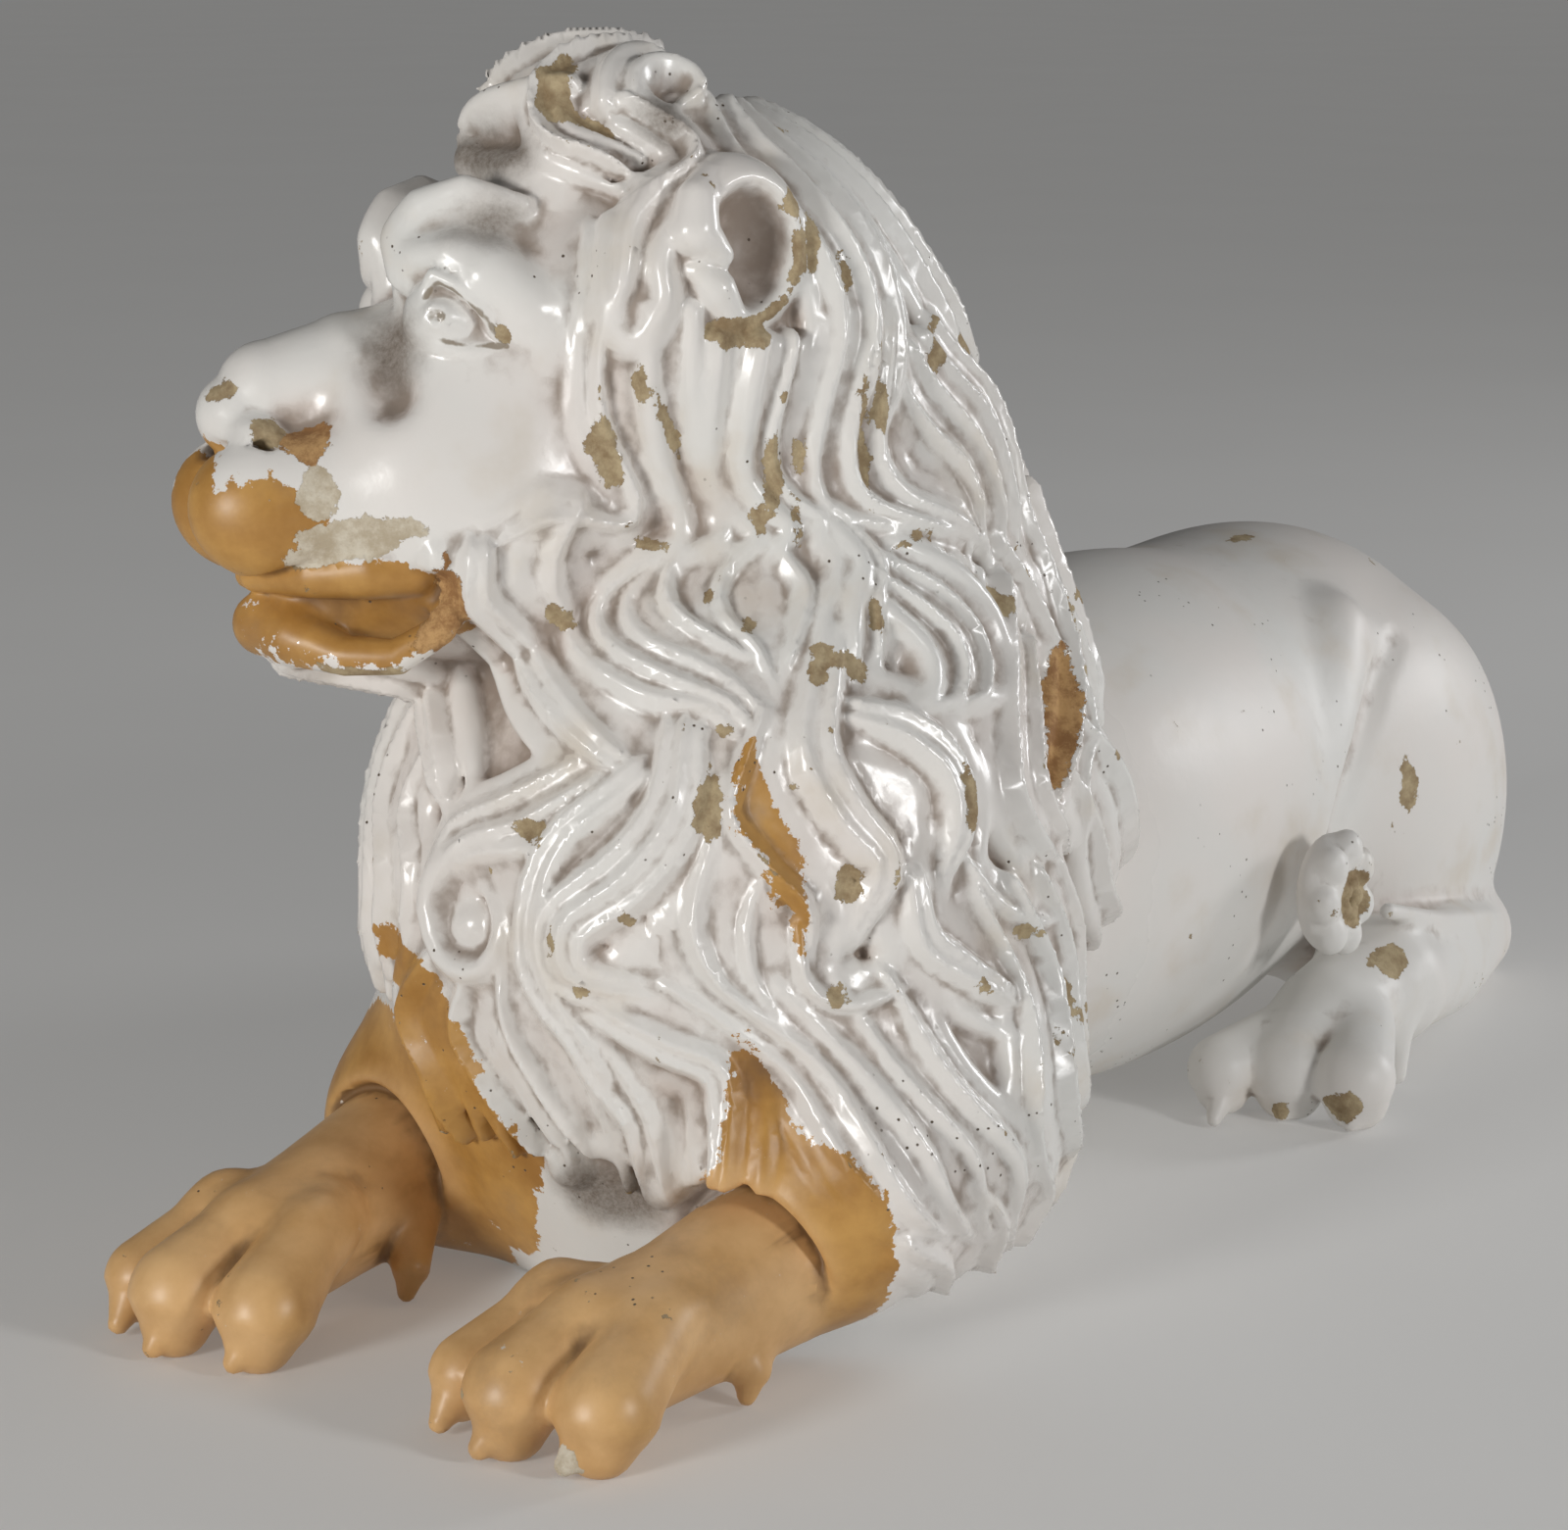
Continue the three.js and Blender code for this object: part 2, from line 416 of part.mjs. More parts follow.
// Skin of the form: each grid cube is six tetrahedra, and each tetrahedron that the skin
// crosses gives one or two triangles, so the skin is always closed
function skin() {
  const n = [0, 1, 2].map((i) => Math.ceil((room.high[i] - room.low[i]) / cell) + 1);
  const index = (i, j, k) => (i * n[1] + j) * n[2] + k;
  const place = (id) => [
    room.low[0] + Math.floor(id / (n[1] * n[2])) * cell,
    room.low[1] + (Math.floor(id / n[2]) % n[1]) * cell,
    room.low[2] + (id % n[2]) * cell,
  ];
  const value = new Float64Array(n[0] * n[1] * n[2]);
  for (let id = 0; id < value.length; id += 1) {
    const p = place(id);
    // the form runs on a little below the floor, where it ends flat
    const d = Math.max(form(p), -9 - p[2]);
    value[id] = Math.abs(d) < 0.02 ? 0.02 : d;
  }
  const points = [];
  const faces = [];
  const cuts = new Map();
  const cutPoint = (a, b) => {
    const key = a < b ? a * value.length + b : b * value.length + a;
    if (!cuts.has(key)) {
      const t = value[a] / (value[a] - value[b]);
      const pa = place(a);
      cuts.set(key, points.length);
      points.push(add(pa, sub(place(b), pa), Math.min(Math.max(t, 0.04), 0.96)));
    }
    return cuts.get(key);
  };
  const orders = [[0, 1, 2], [0, 2, 1], [1, 0, 2], [1, 2, 0], [2, 0, 1], [2, 1, 0]];
  const unitStep = [index(1, 0, 0), index(0, 1, 0), index(0, 0, 1)];
  const tetrahedron = (corner) => {
    const inside = corner.filter((c) => value[c] < 0);
    const outside = corner.filter((c) => value[c] >= 0);
    if (inside.length === 0 || outside.length === 0) return;
    let ring;
    if (inside.length === 1) ring = outside.map((o) => cutPoint(inside[0], o));
    else if (outside.length === 1) ring = inside.map((c) => cutPoint(c, outside[0]));
    else {
      const [a, b] = inside;
      const [c, d] = outside;
      ring = [cutPoint(a, c), cutPoint(a, d), cutPoint(b, d), cutPoint(b, c)];
    }
    const middle = outside.reduce((s, c) => add(s, place(c), 1 / outside.length), [0, 0, 0]);
    const within = inside.reduce((s, c) => add(s, place(c), 1 / inside.length), [0, 0, 0]);
    const [p, q, r] = ring.map((c) => points[c]);
    if (dot(cross(sub(q, p), sub(r, p)), sub(middle, within)) < 0) ring.reverse();
    faces.push([ring[0], ring[1], ring[2]]);
    if (ring.length === 4) faces.push([ring[0], ring[2], ring[3]]);
  };
  for (let i = 0; i + 1 < n[0]; i += 1) {
    for (let j = 0; j + 1 < n[1]; j += 1) {
      for (let k = 0; k + 1 < n[2]; k += 1) {
        const start = index(i, j, k);
        const far = start + unitStep[0] + unitStep[1] + unitStep[2];
        if (Math.abs(value[start]) > 3 * cell && Math.abs(value[far]) > 3 * cell
          && value[start] * value[far] > 0) continue;
        for (const order of orders) {
          const corner = [start];
          for (const o of order) corner.push(corner[corner.length - 1] + unitStep[o]);
          tetrahedron(corner);
        }
      }
    }
  }
  return { points, faces };
}

// The largest connected piece of a surface
function largestPiece({ points, faces }) {
  const root = points.map((_, i) => i);
  const find = (i) => {
    let r = i;
    while (root[r] !== r) {
      root[r] = root[root[r]];
      r = root[r];
    }
    return r;
  };
  for (const [a, b, c] of faces) {
    root[find(a)] = find(b);
    root[find(b)] = find(c);
  }
  const size = new Map();
  for (const f of faces) size.set(find(f[0]), (size.get(find(f[0])) || 0) + 1);
  const [keep] = [...size].sort((x, y) => y[1] - x[1])[0];
  return { points, faces: faces.filter((f) => find(f[0]) === keep) };
}

// Thins a closed surface out by drawing short edges together where it is flattest. The cost of an
// edge is the summed squared distance of the merged point from the planes of the faces around it.
function thinOut({ points, faces }, wanted) {
  const at = points.map((p) => p.slice());
  const tri = faces.map((f) => f.slice());
  const around = at.map(() => new Set());
  tri.forEach((f, i) => f.forEach((v) => around[v].add(i)));
  const planes = at.map(() => new Float64Array(10));
  const areaVector = (a, b, c) => cross(sub(b, a), sub(c, a));
  for (const f of tri) {
    const cr = areaVector(...f.map((v) => at[v]));
    const area = norm(cr) / 2;
    const m = unit(cr);
    const w = -dot(m, at[f[0]]);
    const v = [...m, w];
    let k = 0;
    for (let i = 0; i < 4; i += 1) {
      for (let j = i; j < 4; j += 1) {
        for (const p of f) planes[p][k] += v[i] * v[j] * area;
        k += 1;
      }
    }
  }
  const costAt = (q, [x, y, z]) => q[0] * x * x + 2 * q[1] * x * y + 2 * q[2] * x * z + 2 * q[3] * x
    + q[4] * y * y + 2 * q[5] * y * z + 2 * q[6] * y + q[7] * z * z + 2 * q[8] * z + q[9];
  const best = (a, b) => {
    const q = planes[a].map((v, i) => v + planes[b][i]);
    const middle = add(at[a], sub(at[b], at[a]), 0.5);
    const weight = (q[0] + q[4] + q[7]) * 0.003;
    const r0 = [q[0] + weight, q[1], q[2]];
    const r1 = [q[1], q[4] + weight, q[5]];
    const r2 = [q[2], q[5], q[7] + weight];
    const right = [-q[3] + weight * middle[0], -q[6] + weight * middle[1], -q[8] + weight * middle[2]];
    const det = dot(r0, cross(r1, r2));
    let spot = middle;
    if (Math.abs(det) > 1e-9) {
      const c = [cross(r1, r2), cross(r2, r0), cross(r0, r1)];
      spot = [0, 1, 2].map((i) => (right[0] * c[0][i] + right[1] * c[1][i] + right[2] * c[2][i]) / det);
      if (norm(sub(spot, middle)) > 2 * norm(sub(at[a], at[b]))) spot = middle;
    }
    const length = norm(sub(at[a], at[b]));
    return { spot, cost: Math.max(costAt(q, spot), 0) + 0.002 * length ** 4 * 0.01, q };
  };
  // heap of edges, cheapest on top
  const heap = [];
  const push = (e) => {
    let i = heap.push(e) - 1;
    while (i > 0) {
      const up = (i - 1) >> 1;
      if (heap[up].cost <= heap[i].cost) break;
      [heap[up], heap[i]] = [heap[i], heap[up]];
      i = up;
    }
  };
  const pop = () => {
    const top = heap[0];
    const last = heap.pop();
    if (heap.length) {
      heap[0] = last;
      let i = 0;
      for (;;) {
        let k = 2 * i + 1;
        if (k >= heap.length) break;
        if (k + 1 < heap.length && heap[k + 1].cost < heap[k].cost) k += 1;
        if (heap[i].cost <= heap[k].cost) break;
        [heap[k], heap[i]] = [heap[i], heap[k]];
        i = k;
      }
    }
    return top;
  };
  const stamp = new Int32Array(at.length);
  const neighbours = (v) => {
    const set = new Set();
    for (const f of around[v]) for (const w of tri[f]) if (w !== v) set.add(w);
    return set;
  };
  const offer = (a, b) => push({ a, b, sa: stamp[a], sb: stamp[b], ...best(a, b) });
  for (const f of tri) for (let i = 0; i < 3; i += 1) if (f[i] < f[(i + 1) % 3]) offer(f[i], f[(i + 1) % 3]);
  let left = tri.length;
  const allowed = (v, other, spot) => {
    for (const f of around[v]) {
      if (tri[f].includes(other)) continue;
      const old = tri[f].map((w) => at[w]);
      const now = tri[f].map((w) => (w === v ? spot : at[w]));
      const a = areaVector(...old);
      const b = areaVector(...now);
      const sides = [norm(sub(now[0], now[1])), norm(sub(now[1], now[2])), norm(sub(now[2], now[0]))];
      if (dot(unit(a), unit(b)) < 0.35) return false;
      if (norm(b) < 0.06 * Math.max(...sides) ** 2) return false;
    }
    return true;
  };
  while (left > wanted && heap.length) {
    const { a, b, sa, sb, spot, q } = pop();
    if (stamp[a] !== sa || stamp[b] !== sb) continue;
    const na = neighbours(a);
    if (!na.has(b)) continue;
    let shared = 0;
    for (const w of neighbours(b)) if (na.has(w)) shared += 1;
    if (shared !== 2 || !allowed(a, b, spot) || !allowed(b, a, spot)) continue;
    for (const f of [...around[b]]) {
      if (tri[f].includes(a)) {
        for (const w of tri[f]) around[w].delete(f);
        tri[f] = null;
        left -= 1;
      } else {
        tri[f] = tri[f].map((w) => (w === b ? a : w));
        around[a].add(f);
      }
    }
    around[b].clear();
    at[a] = spot;
    planes[a] = q;
    stamp[a] += 1;
    stamp[b] = -1;
    for (const w of neighbours(a)) {
      if (w < a) offer(w, a);
      else offer(a, w);
    }
  }
  const used = new Map();
  const outPoints = [];
  const outFaces = [];
  for (const f of tri) {
    if (!f) continue;
    outFaces.push(f.map((v) => {
      if (!used.has(v)) {
        used.set(v, outPoints.length);
        outPoints.push(at[v]);
      }
      return used.get(v);
    }));
  }
  return { points: outPoints, faces: outFaces };
}

// Solids for the flat cut under the lion
const wasm = await Module();
wasm.setup();
const solid = ({ points, faces }) => new wasm.Manifold(new wasm.Mesh({
  numProp: 3,
  vertProperties: new Float32Array(points.flat()),
  triVerts: new Uint32Array(faces.flat()),
}));
const floorBox = new THREE.BoxGeometry(1200, 800, 60);
floorBox.translate(0, 0, -30);
const boxPoints = [];
const boxNames = new Map();
const boxPlace = floorBox.attributes.position;
const boxCorner = (i) => {
  const p = [boxPlace.getX(i), boxPlace.getY(i), boxPlace.getZ(i)];
  const name = p.join();
  if (!boxNames.has(name)) {
    boxNames.set(name, boxPoints.length);
    boxPoints.push(p);
  }
  return boxNames.get(name);
};
const boxFaces = [];
for (let i = 0; i < floorBox.index.count; i += 3) {
  boxFaces.push([0, 1, 2].map((j) => boxCorner(floorBox.index.getX(i + j))));
}
const whole = thinOut(largestPiece(skin()), triangles);
whole.points = whole.points.map((p) => [p[0] + shift[0], p[1] + shift[1], p[2]]);
const cutLion = solid(whole).subtract(solid({ points: boxPoints, faces: boxFaces })).getMesh();

const geometry = new THREE.BufferGeometry();
geometry.setAttribute('position', new THREE.BufferAttribute(new Float32Array(cutLion.vertProperties), 3));
geometry.setIndex([...cutLion.triVerts]);
geometry.computeVertexNormals();

// White tin glaze over nearly all of the body
const glaze = new THREE.MeshStandardMaterial({ color: 0xe6e2dc, roughness: 0.22, metalness: 0 });
const lion = new THREE.Mesh(geometry, glaze);
lion.name = 'lion';
const group = new THREE.Group();
group.name = 'ceramic_lion';
group.add(lion);

export default group;
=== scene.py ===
"""A lying lion of white and ochre glazed earthenware, on a pale floor."""
import math

import bpy
import numpy as np
from mathutils import Matrix


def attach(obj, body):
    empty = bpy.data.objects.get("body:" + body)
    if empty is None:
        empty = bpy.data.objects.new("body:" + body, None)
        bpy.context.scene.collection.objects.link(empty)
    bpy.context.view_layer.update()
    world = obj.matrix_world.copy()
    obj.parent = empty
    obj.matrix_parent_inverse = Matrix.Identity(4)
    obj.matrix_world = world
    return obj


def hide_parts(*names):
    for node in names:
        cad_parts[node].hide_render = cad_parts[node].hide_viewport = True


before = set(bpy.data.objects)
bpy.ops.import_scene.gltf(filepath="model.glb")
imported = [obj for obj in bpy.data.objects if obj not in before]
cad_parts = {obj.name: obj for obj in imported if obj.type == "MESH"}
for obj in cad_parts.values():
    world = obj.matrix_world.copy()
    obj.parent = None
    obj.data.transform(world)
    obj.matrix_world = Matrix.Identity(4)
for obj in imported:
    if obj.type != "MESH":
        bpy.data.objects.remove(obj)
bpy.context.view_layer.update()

# The camera stands before the lion's left shoulder, a little above its head.
VIEW_BEARING = 54.0  # degrees round from straight beside the lion toward its front
VIEW_HEIGHT = 13.5  # degrees above level
VIEW_DISTANCE = 1.6
VIEW_TARGET = np.array([-0.1796, -0.0447, 0.215])
bearing, height = math.radians(VIEW_BEARING), math.radians(VIEW_HEIGHT)
backward = np.array([-math.sin(bearing) * math.cos(height), -math.cos(bearing) * math.cos(height),
                     math.sin(height)])
rightward = np.array([math.cos(bearing), -math.sin(bearing), 0.0])
upward = np.cross(backward, rightward)
camera_data = bpy.data.cameras.new("camera")
camera_data.lens = 90.0
camera_data.sensor_fit = "HORIZONTAL"
camera_data.sensor_width = 36.0
camera_data.clip_end = 60.0
camera = bpy.data.objects.new("camera", camera_data)
camera.matrix_world = Matrix([
    [rightward[i], upward[i], backward[i], VIEW_TARGET[i] + VIEW_DISTANCE * backward[i]] for i in range(3)
] + [[0, 0, 0, 1]])
bpy.context.scene.collection.objects.link(camera)
bpy.context.scene.camera = camera


# Soft studio light: a lamp low before the face, one beside the flank, one behind the rump, and pale
# light from all round.
def lamp(name, place, target, size, power, colour=(1, 1, 1)):
    """A square lamp whose -Z axis points from place to target."""
    data = bpy.data.lights.new(name, "AREA")
    data.shape = "SQUARE"
    data.size = size
    data.energy = power
    data.color = colour
    out = np.array(place, float) - np.array(target, float)
    out /= np.linalg.norm(out)
    side = np.cross((0, 0, 1), out)
    side /= np.linalg.norm(side)
    top = np.cross(out, side)
    obj = bpy.data.objects.new(name, data)
    obj.matrix_world = Matrix([[side[i], top[i], out[i], place[i]] for i in range(3)] + [[0, 0, 0, 1]])
    bpy.context.scene.collection.objects.link(obj)


lamp("key_lamp", (-2.5, 0.15, 0.62), (-0.1, 0.0, 0.22), 0.5, 27.0, (1.0, 0.99, 0.97))
lamp("side_lamp", (-0.2, -2.7, 0.9), (0.1, 0.0, 0.15), 0.45, 25.0)
lamp("rear_lamp", (2.2, -1.4, 0.8), (0.1, 0.0, 0.15), 0.5, 16.0, (0.97, 0.98, 1.0))
world = bpy.data.worlds.new("studio")
world.use_nodes = True
world.node_tree.nodes["Background"].inputs["Color"].default_value = (0.80, 0.80, 0.79, 1)
world.node_tree.nodes["Background"].inputs["Strength"].default_value = 0.13
bpy.context.scene.world = world
bpy.context.scene.view_settings.view_transform = "Standard"


# Shader sums are written as Python expressions on sockets.
class Socket:
    """An output of a node. Sums and products with it add Math nodes; smooth, blend and node add others."""

    def __init__(self, tree, output):
        self.tree, self.output = tree, output

    def node(self, kind, settings=None, result=0, **sockets):
        """Adds a node of a kind: its settings come first, then the values or links of its sockets by name,
        with _ for a space; a socket given as i3 is the one with number 3. Returns the output result."""
        made = self.tree.nodes.new(kind)
        for key, value in (settings or {}).items():
            setattr(made, key, value)
        for key, value in sockets.items():
            numbered = key[0] == "i" and key[1:].isdigit()
            socket = made.inputs[int(key[1:])] if numbered else made.inputs[key.replace("_", " ")]
            if isinstance(value, Socket):
                self.tree.links.new(value.output, socket)
            else:
                socket.default_value = value
        return Socket(self.tree, made.outputs[result])

    def math(self, operation, first, second):
        return self.node("ShaderNodeMath", {"operation": operation}, i0=first, i1=second)

    def __add__(self, other):
        return self.math("ADD", self, other)

    __radd__ = __add__

    def __sub__(self, other):
        return self.math("SUBTRACT", self, other)

    def __rsub__(self, other):
        return self.math("SUBTRACT", other, self)

    def __mul__(self, other):
        return self.math("MULTIPLY", self, other)

    __rmul__ = __mul__

    def at_least(self, other):
        return self.math("MAXIMUM", self, other)

    def at_most(self, other):
        return self.math("MINIMUM", self, other)

    def smooth(self, low, high):
        """0 below low, 1 above high, with a soft S between."""
        settings = {"interpolation_type": "SMOOTHSTEP"}
        return self.node("ShaderNodeMapRange", settings, Value=self, From_Min=low, From_Max=high)

    def blend(self, first, second):
        """The colour first where this is 0, second where it is 1."""
        settings = {"data_type": "RGBA"}
        return self.node("ShaderNodeMix", settings, 2, i0=self, i6=first, i7=second)


def material(name):
    """A new node material: its Principled shader, the object's coordinates as a Socket, and itself."""
    made = bpy.data.materials.new(name)
    made.use_nodes = True
    tree = made.node_tree
    shader = tree.nodes["Principled BSDF"]
    coordinates = Socket(tree, tree.nodes.new("ShaderNodeTexCoord").outputs["Object"])
    return made, shader, coordinates


def link(socket, shader, name):
    socket.tree.links.new(socket.output, shader.inputs[name])


# The floor is a plain pale matt sheet, wide enough to fill the view in every direction.
FLOOR_RADIUS = 24.0
FLOOR_SIDES = 96
FLOOR_DROP = 0.0003  # keeps the floor clear of the lion's flat underside
floor_turn = np.linspace(0, 2 * np.pi, FLOOR_SIDES + 1)[:-1]
floor_rim = np.stack([np.cos(floor_turn), np.sin(floor_turn), floor_turn * 0], 1) * FLOOR_RADIUS
floor_mesh = bpy.data.meshes.new("floor")
floor_mesh.from_pydata((floor_rim - (0, 0, FLOOR_DROP)).tolist(), [], [list(range(FLOOR_SIDES))])
floor = bpy.data.objects.new("floor", floor_mesh)
bpy.context.scene.collection.objects.link(floor)
floor_finish, floor_shader, floor_place = material("pale_floor")
floor_cloud = floor_place.node("ShaderNodeTexNoise", Vector=floor_place, Scale=3.0, Detail=3.0)
link(floor_cloud.blend((0.60, 0.595, 0.585, 1), (0.66, 0.655, 0.645, 1)), floor_shader, "Base Color")
floor_shader.inputs["Roughness"].default_value = 0.75
floor_shader.inputs["Emission Color"].default_value = (0.62, 0.615, 0.605, 1)
floor_shader.inputs["Emission Strength"].default_value = 0.22
floor_mesh.materials.append(floor_finish)


# The lion is one hollow earthenware body, modelled by hand, glazed and fired in one piece. Its skin is
# found as the level zero of a distance: every form below gives the distance from its own surface,
# negative inside, and forms are joined or cut with rounded seams. Sizes here are millimetres.
MM = 0.001
MIDDLE = np.array([-6.6, 1.3, 0.0])  # from the frame in which the forms are placed to the part's frame
FAR_OFF = 200.0  # the distance before any form is joined
BLOCK_FAR_OFF = 80.0  # the same within a block near the skin
BODY_LENGTH, BODY_WIDTH, BODY_HEIGHT = 460.0, 214.0, 252.0
HEAD_AT = np.array([-215.0, 23.0, 395.0])


def turned(yaw=0.0, pitch=0.0, roll=0.0):
    """Columns are the axes after a roll about X, then a pitch about Y, then a yaw about Z, in degrees."""
    y, p, r = (math.radians(a) for a in (yaw, pitch, roll))
    about_z = np.array([[math.cos(y), -math.sin(y), 0], [math.sin(y), math.cos(y), 0], [0, 0, 1]])
    about_y = np.array([[math.cos(p), 0, math.sin(p)], [0, 1, 0], [-math.sin(p), 0, math.cos(p)]])
    about_x = np.array([[1, 0, 0], [0, math.cos(r), -math.sin(r)], [0, math.sin(r), math.cos(r)]])
    return about_z @ about_y @ about_x


HEAD_AXES = turned(144, -2, 5)


def unit(v):
    return v / np.maximum(np.linalg.norm(v, axis=-1, keepdims=True), 1e-9)


class Ball:
    """An ellipsoid: with k the length of q / radii and g that of q / radii squared, k (k - 1) / g."""

    def __init__(self, at, radii, turn=(0, 0, 0)):
        self.at = np.array(at, np.float32)
        self.radii = np.array(radii, np.float32)
        self.axes = turned(*turn).astype(np.float32)
        reach = np.sqrt(((self.axes * self.radii) ** 2).sum(1))
        self.low, self.high = self.at - reach, self.at + reach

    def dist(self, p):
        q = (p - self.at) @ self.axes / self.radii
        k = np.sqrt((q * q).sum(1))
        q /= self.radii
        return k * (k - 1) / np.maximum(np.sqrt((q * q).sum(1)), 1e-9)


class Bar:
    """A chain of round bars: the distance to each straight stretch less its radius there."""

    def __init__(self, *knots):
        self.knots = np.array(knots, np.float32)
        place, radius = self.knots[:, :3], self.knots[:, 3:]
        self.low, self.high = (place - radius).min(0), (place + radius).max(0)

    def dist(self, p):
        nearest = np.full(len(p), 1e3, np.float32)
        for a, b in zip(self.knots[:-1], self.knots[1:]):
            along = b[:3] - a[:3]
            q = p - a[:3]
            t = np.clip(q @ along / max(along @ along, 1e-6), 0, 1)
            q -= t[:, None] * along
            np.minimum(nearest, np.sqrt((q * q).sum(1)) - (a[3] + t * (b[3] - a[3])), out=nearest)
        return nearest


class InHead:
    """The same form laid in the head's own frame: X forward, Y to its left, Z up."""

    def __init__(self, form):
        self.form = form
        ends = list(zip(form.low, form.high))
        corners = np.array([[x, y, z] for x in ends[0] for y in ends[1] for z in ends[2]])
        world_corners = corners @ HEAD_AXES.T + HEAD_AT
        self.low, self.high = world_corners.min(0), world_corners.max(0)

    def dist(self, p):
        return self.form.dist(((p - HEAD_AT) @ HEAD_AXES).astype(np.float32))


def rounded(a, b, seam):
    """The lesser of two distances, with a fillet where they differ by less than the seam."""
    if seam <= 0:
        return np.minimum(a, b)
    near = np.maximum(seam - np.abs(a - b), 0)
    return np.minimum(a, b) - near * near / (4 * seam)


class Sculpture:
    """A list of forms that are joined or cut in order."""

    def __init__(self):
        self.steps = []

    def join(self, form, seam=4.0):
        self.steps.append((1, form, seam))

    def cut(self, form, seam=4.0):
        self.steps.append((-1, form, seam))

    def both(self, how, form, seam=4.0):
        """form(s) for each side s of the head, joined or cut there."""
        for side in (1, -1):
            getattr(self, how)(InHead(form(side)), seam)

    def at(self, p, band=24.0):
        """The distance at loose points."""
        value = np.full(len(p), FAR_OFF, np.float32)
        for sign, form, seam in self.steps:
            reach = band + seam
            pick = np.flatnonzero(np.all((p > form.low - reach) & (p < form.high + reach), axis=1))
            if len(pick):
                q = form.dist(p[pick])
                value[pick] = rounded(value[pick], q, seam) if sign > 0 else -rounded(-value[pick], q, seam)
        return value

    def on_blocks(self, corners, offsets, half):
        """The distance at every offset from every block's corner; a form counts only in blocks near it."""
        middle = corners + half
        reach = half * 3 ** 0.5
        value = np.full((len(corners), len(offsets)), BLOCK_FAR_OFF, np.float32)
        for number, (sign, form, seam) in enumerate(self.steps):
            near = reach + max(step[2] for step in self.steps[number:]) + 3
            pick = np.flatnonzero(np.all((middle > form.low - near) & (middle < form.high + near), axis=1))
            if len(pick):
                pick = pick[form.dist(middle[pick]) < near]
            if len(pick):
                q = form.dist((corners[pick, None] + offsets).reshape(-1, 3)).reshape(len(pick), -1)
                value[pick] = rounded(value[pick], q, seam) if sign > 0 else -rounded(-value[pick], q, seam)
        return value


# Barrel, croup and haunches are smooth and rounded; the shank lies on the floor, with a thin ridge
# along it, and the hind foot points forward with three round toes, short claws and a dewclaw.
lion = Sculpture()
lion.join(Ball((120, -2, BODY_HEIGHT / 2 + 2), (BODY_LENGTH / 2, BODY_WIDTH / 2, BODY_HEIGHT / 2 - 2)), 0)
lion.join(Ball((300, 0, 134), (128, 104, 108), (0, 14, 0)), 40)
for s in (-1, 1):
    lion.join(Ball((318, s * 66, 96), (102, 50, 104), (0, 8, 0)), 22)
    lion.join(Bar((250, s * 70, 205, 16), (214, s * 78, 160, 22), (176, s * 82, 112, 24)), 14)
    lion.cut(Bar((284, s * 91, 200, 2), (255, s * 97, 186, 5), (232, s * 103, 164, 7), (206, s * 108, 134, 9),
                 (186, s * 110, 104, 10)), 9)
    lion.join(Bar((384, s * 84, 22, 24), (300, s * 104, 30, 30), (225, s * 118, 40, 30)), 16)
    lion.join(Bar((392, s * 94, 30, 3), (336, s * 118, 46, 4), (262, s * 128, 64, 4),
                  (196, s * 134, 84, 4)), 10)
    lion.join(Bar((215, s * 118, 40, 28), (165, s * 120, 36, 26), (140, s * 122, 30, 20)), 14)
    for tip_x, tip_y, toe_x, toe_y, toe_r in ((83, 105, 103, 98, 15), (109, 126, 122, 123, 19),
                                              (115, 159, 126, 156, 18)):
        lion.join(Bar((165, s * (toe_y + 120) / 2, 34, toe_r * 0.9), (toe_x, s * toe_y, 24, toe_r)), 6)
        lion.join(Bar((toe_x, s * toe_y, 20, toe_r), (toe_x + 2, s * toe_y, 13, toe_r * 0.85)), 4)
        lion.join(Bar((toe_x - 4, s * (toe_y + tip_y) / 2, 13, 8), (tip_x + 2, s * tip_y, 4, 3.5)), 4)
    lion.join(Bar((205, s * 136, 44, 9), (196, s * 142, 18, 6), (193, s * 143, 5, 5)), 8)

# The mane's mass under the locks hangs from the crown over the shoulders to the floor. Between the
# locks it lies VALLEY deeper than the level on which they are laid.
VALLEY = 5.5
core = Sculpture()
core.steps = list(lion.steps)
for at, radii, turn, seam in (((-160, -3, 150), (150, 146, 185), (0, 0, 0), 50),
                              ((-165, -8, 72), (108, 146, 104), (0, 0, 0), 40),
                              ((-62, -3, 170), (72, 122, 138), (0, 0, 0), 30),
                              ((-114, 3, 290), (112, 104, 144), (0, -12, 0), 40),
                              ((-176, 10, 400), (88, 88, 80), (0, 0, 0), 40)):
    core.join(Ball(at, radii, turn), seam)
    lion.join(Ball(at, np.array(radii) - VALLEY, turn), seam)

# The head is turned to the lion's right, with a long smooth nose, puffed lips and a domed crown.
for sculpture in (core, lion):
    sculpture.join(InHead(Ball((-8, 0, 8), (68, 64, 64))), 30)
    sculpture.both("join", lambda s: Ball((30, 26 * s, -5), (46, 32, 34)), 16)
    sculpture.join(InHead(Bar((60, 0, -22, 34), (93, 0, -23, 28), (127, 0, -26, 20), (139, 0, -34, 15))), 16)
    sculpture.both("join", lambda s: Ball((128, 19 * s, -70), (34, 25, 29)), 8)
    sculpture.both("join", lambda s: Ball((46, 30 * s, -62), (64, 37, 56)), 24)
    sculpture.join(InHead(Bar((44, 0, -98, 38), (98, 0, -109, 25), (109, 0, -113, 21))), 14)
    sculpture.join(InHead(Ball((-10, 0, 72), (44, 44, 30))), 20)
    # hair above the elbows, from which the arms come as from a sleeve
    sculpture.join(Bar((-185, -100, 85, 66), (-236, -110, 62, 52)), 30)
    sculpture.join(Bar((-180, 90, 70, 58), (-228, 92, 50, 52)), 30)


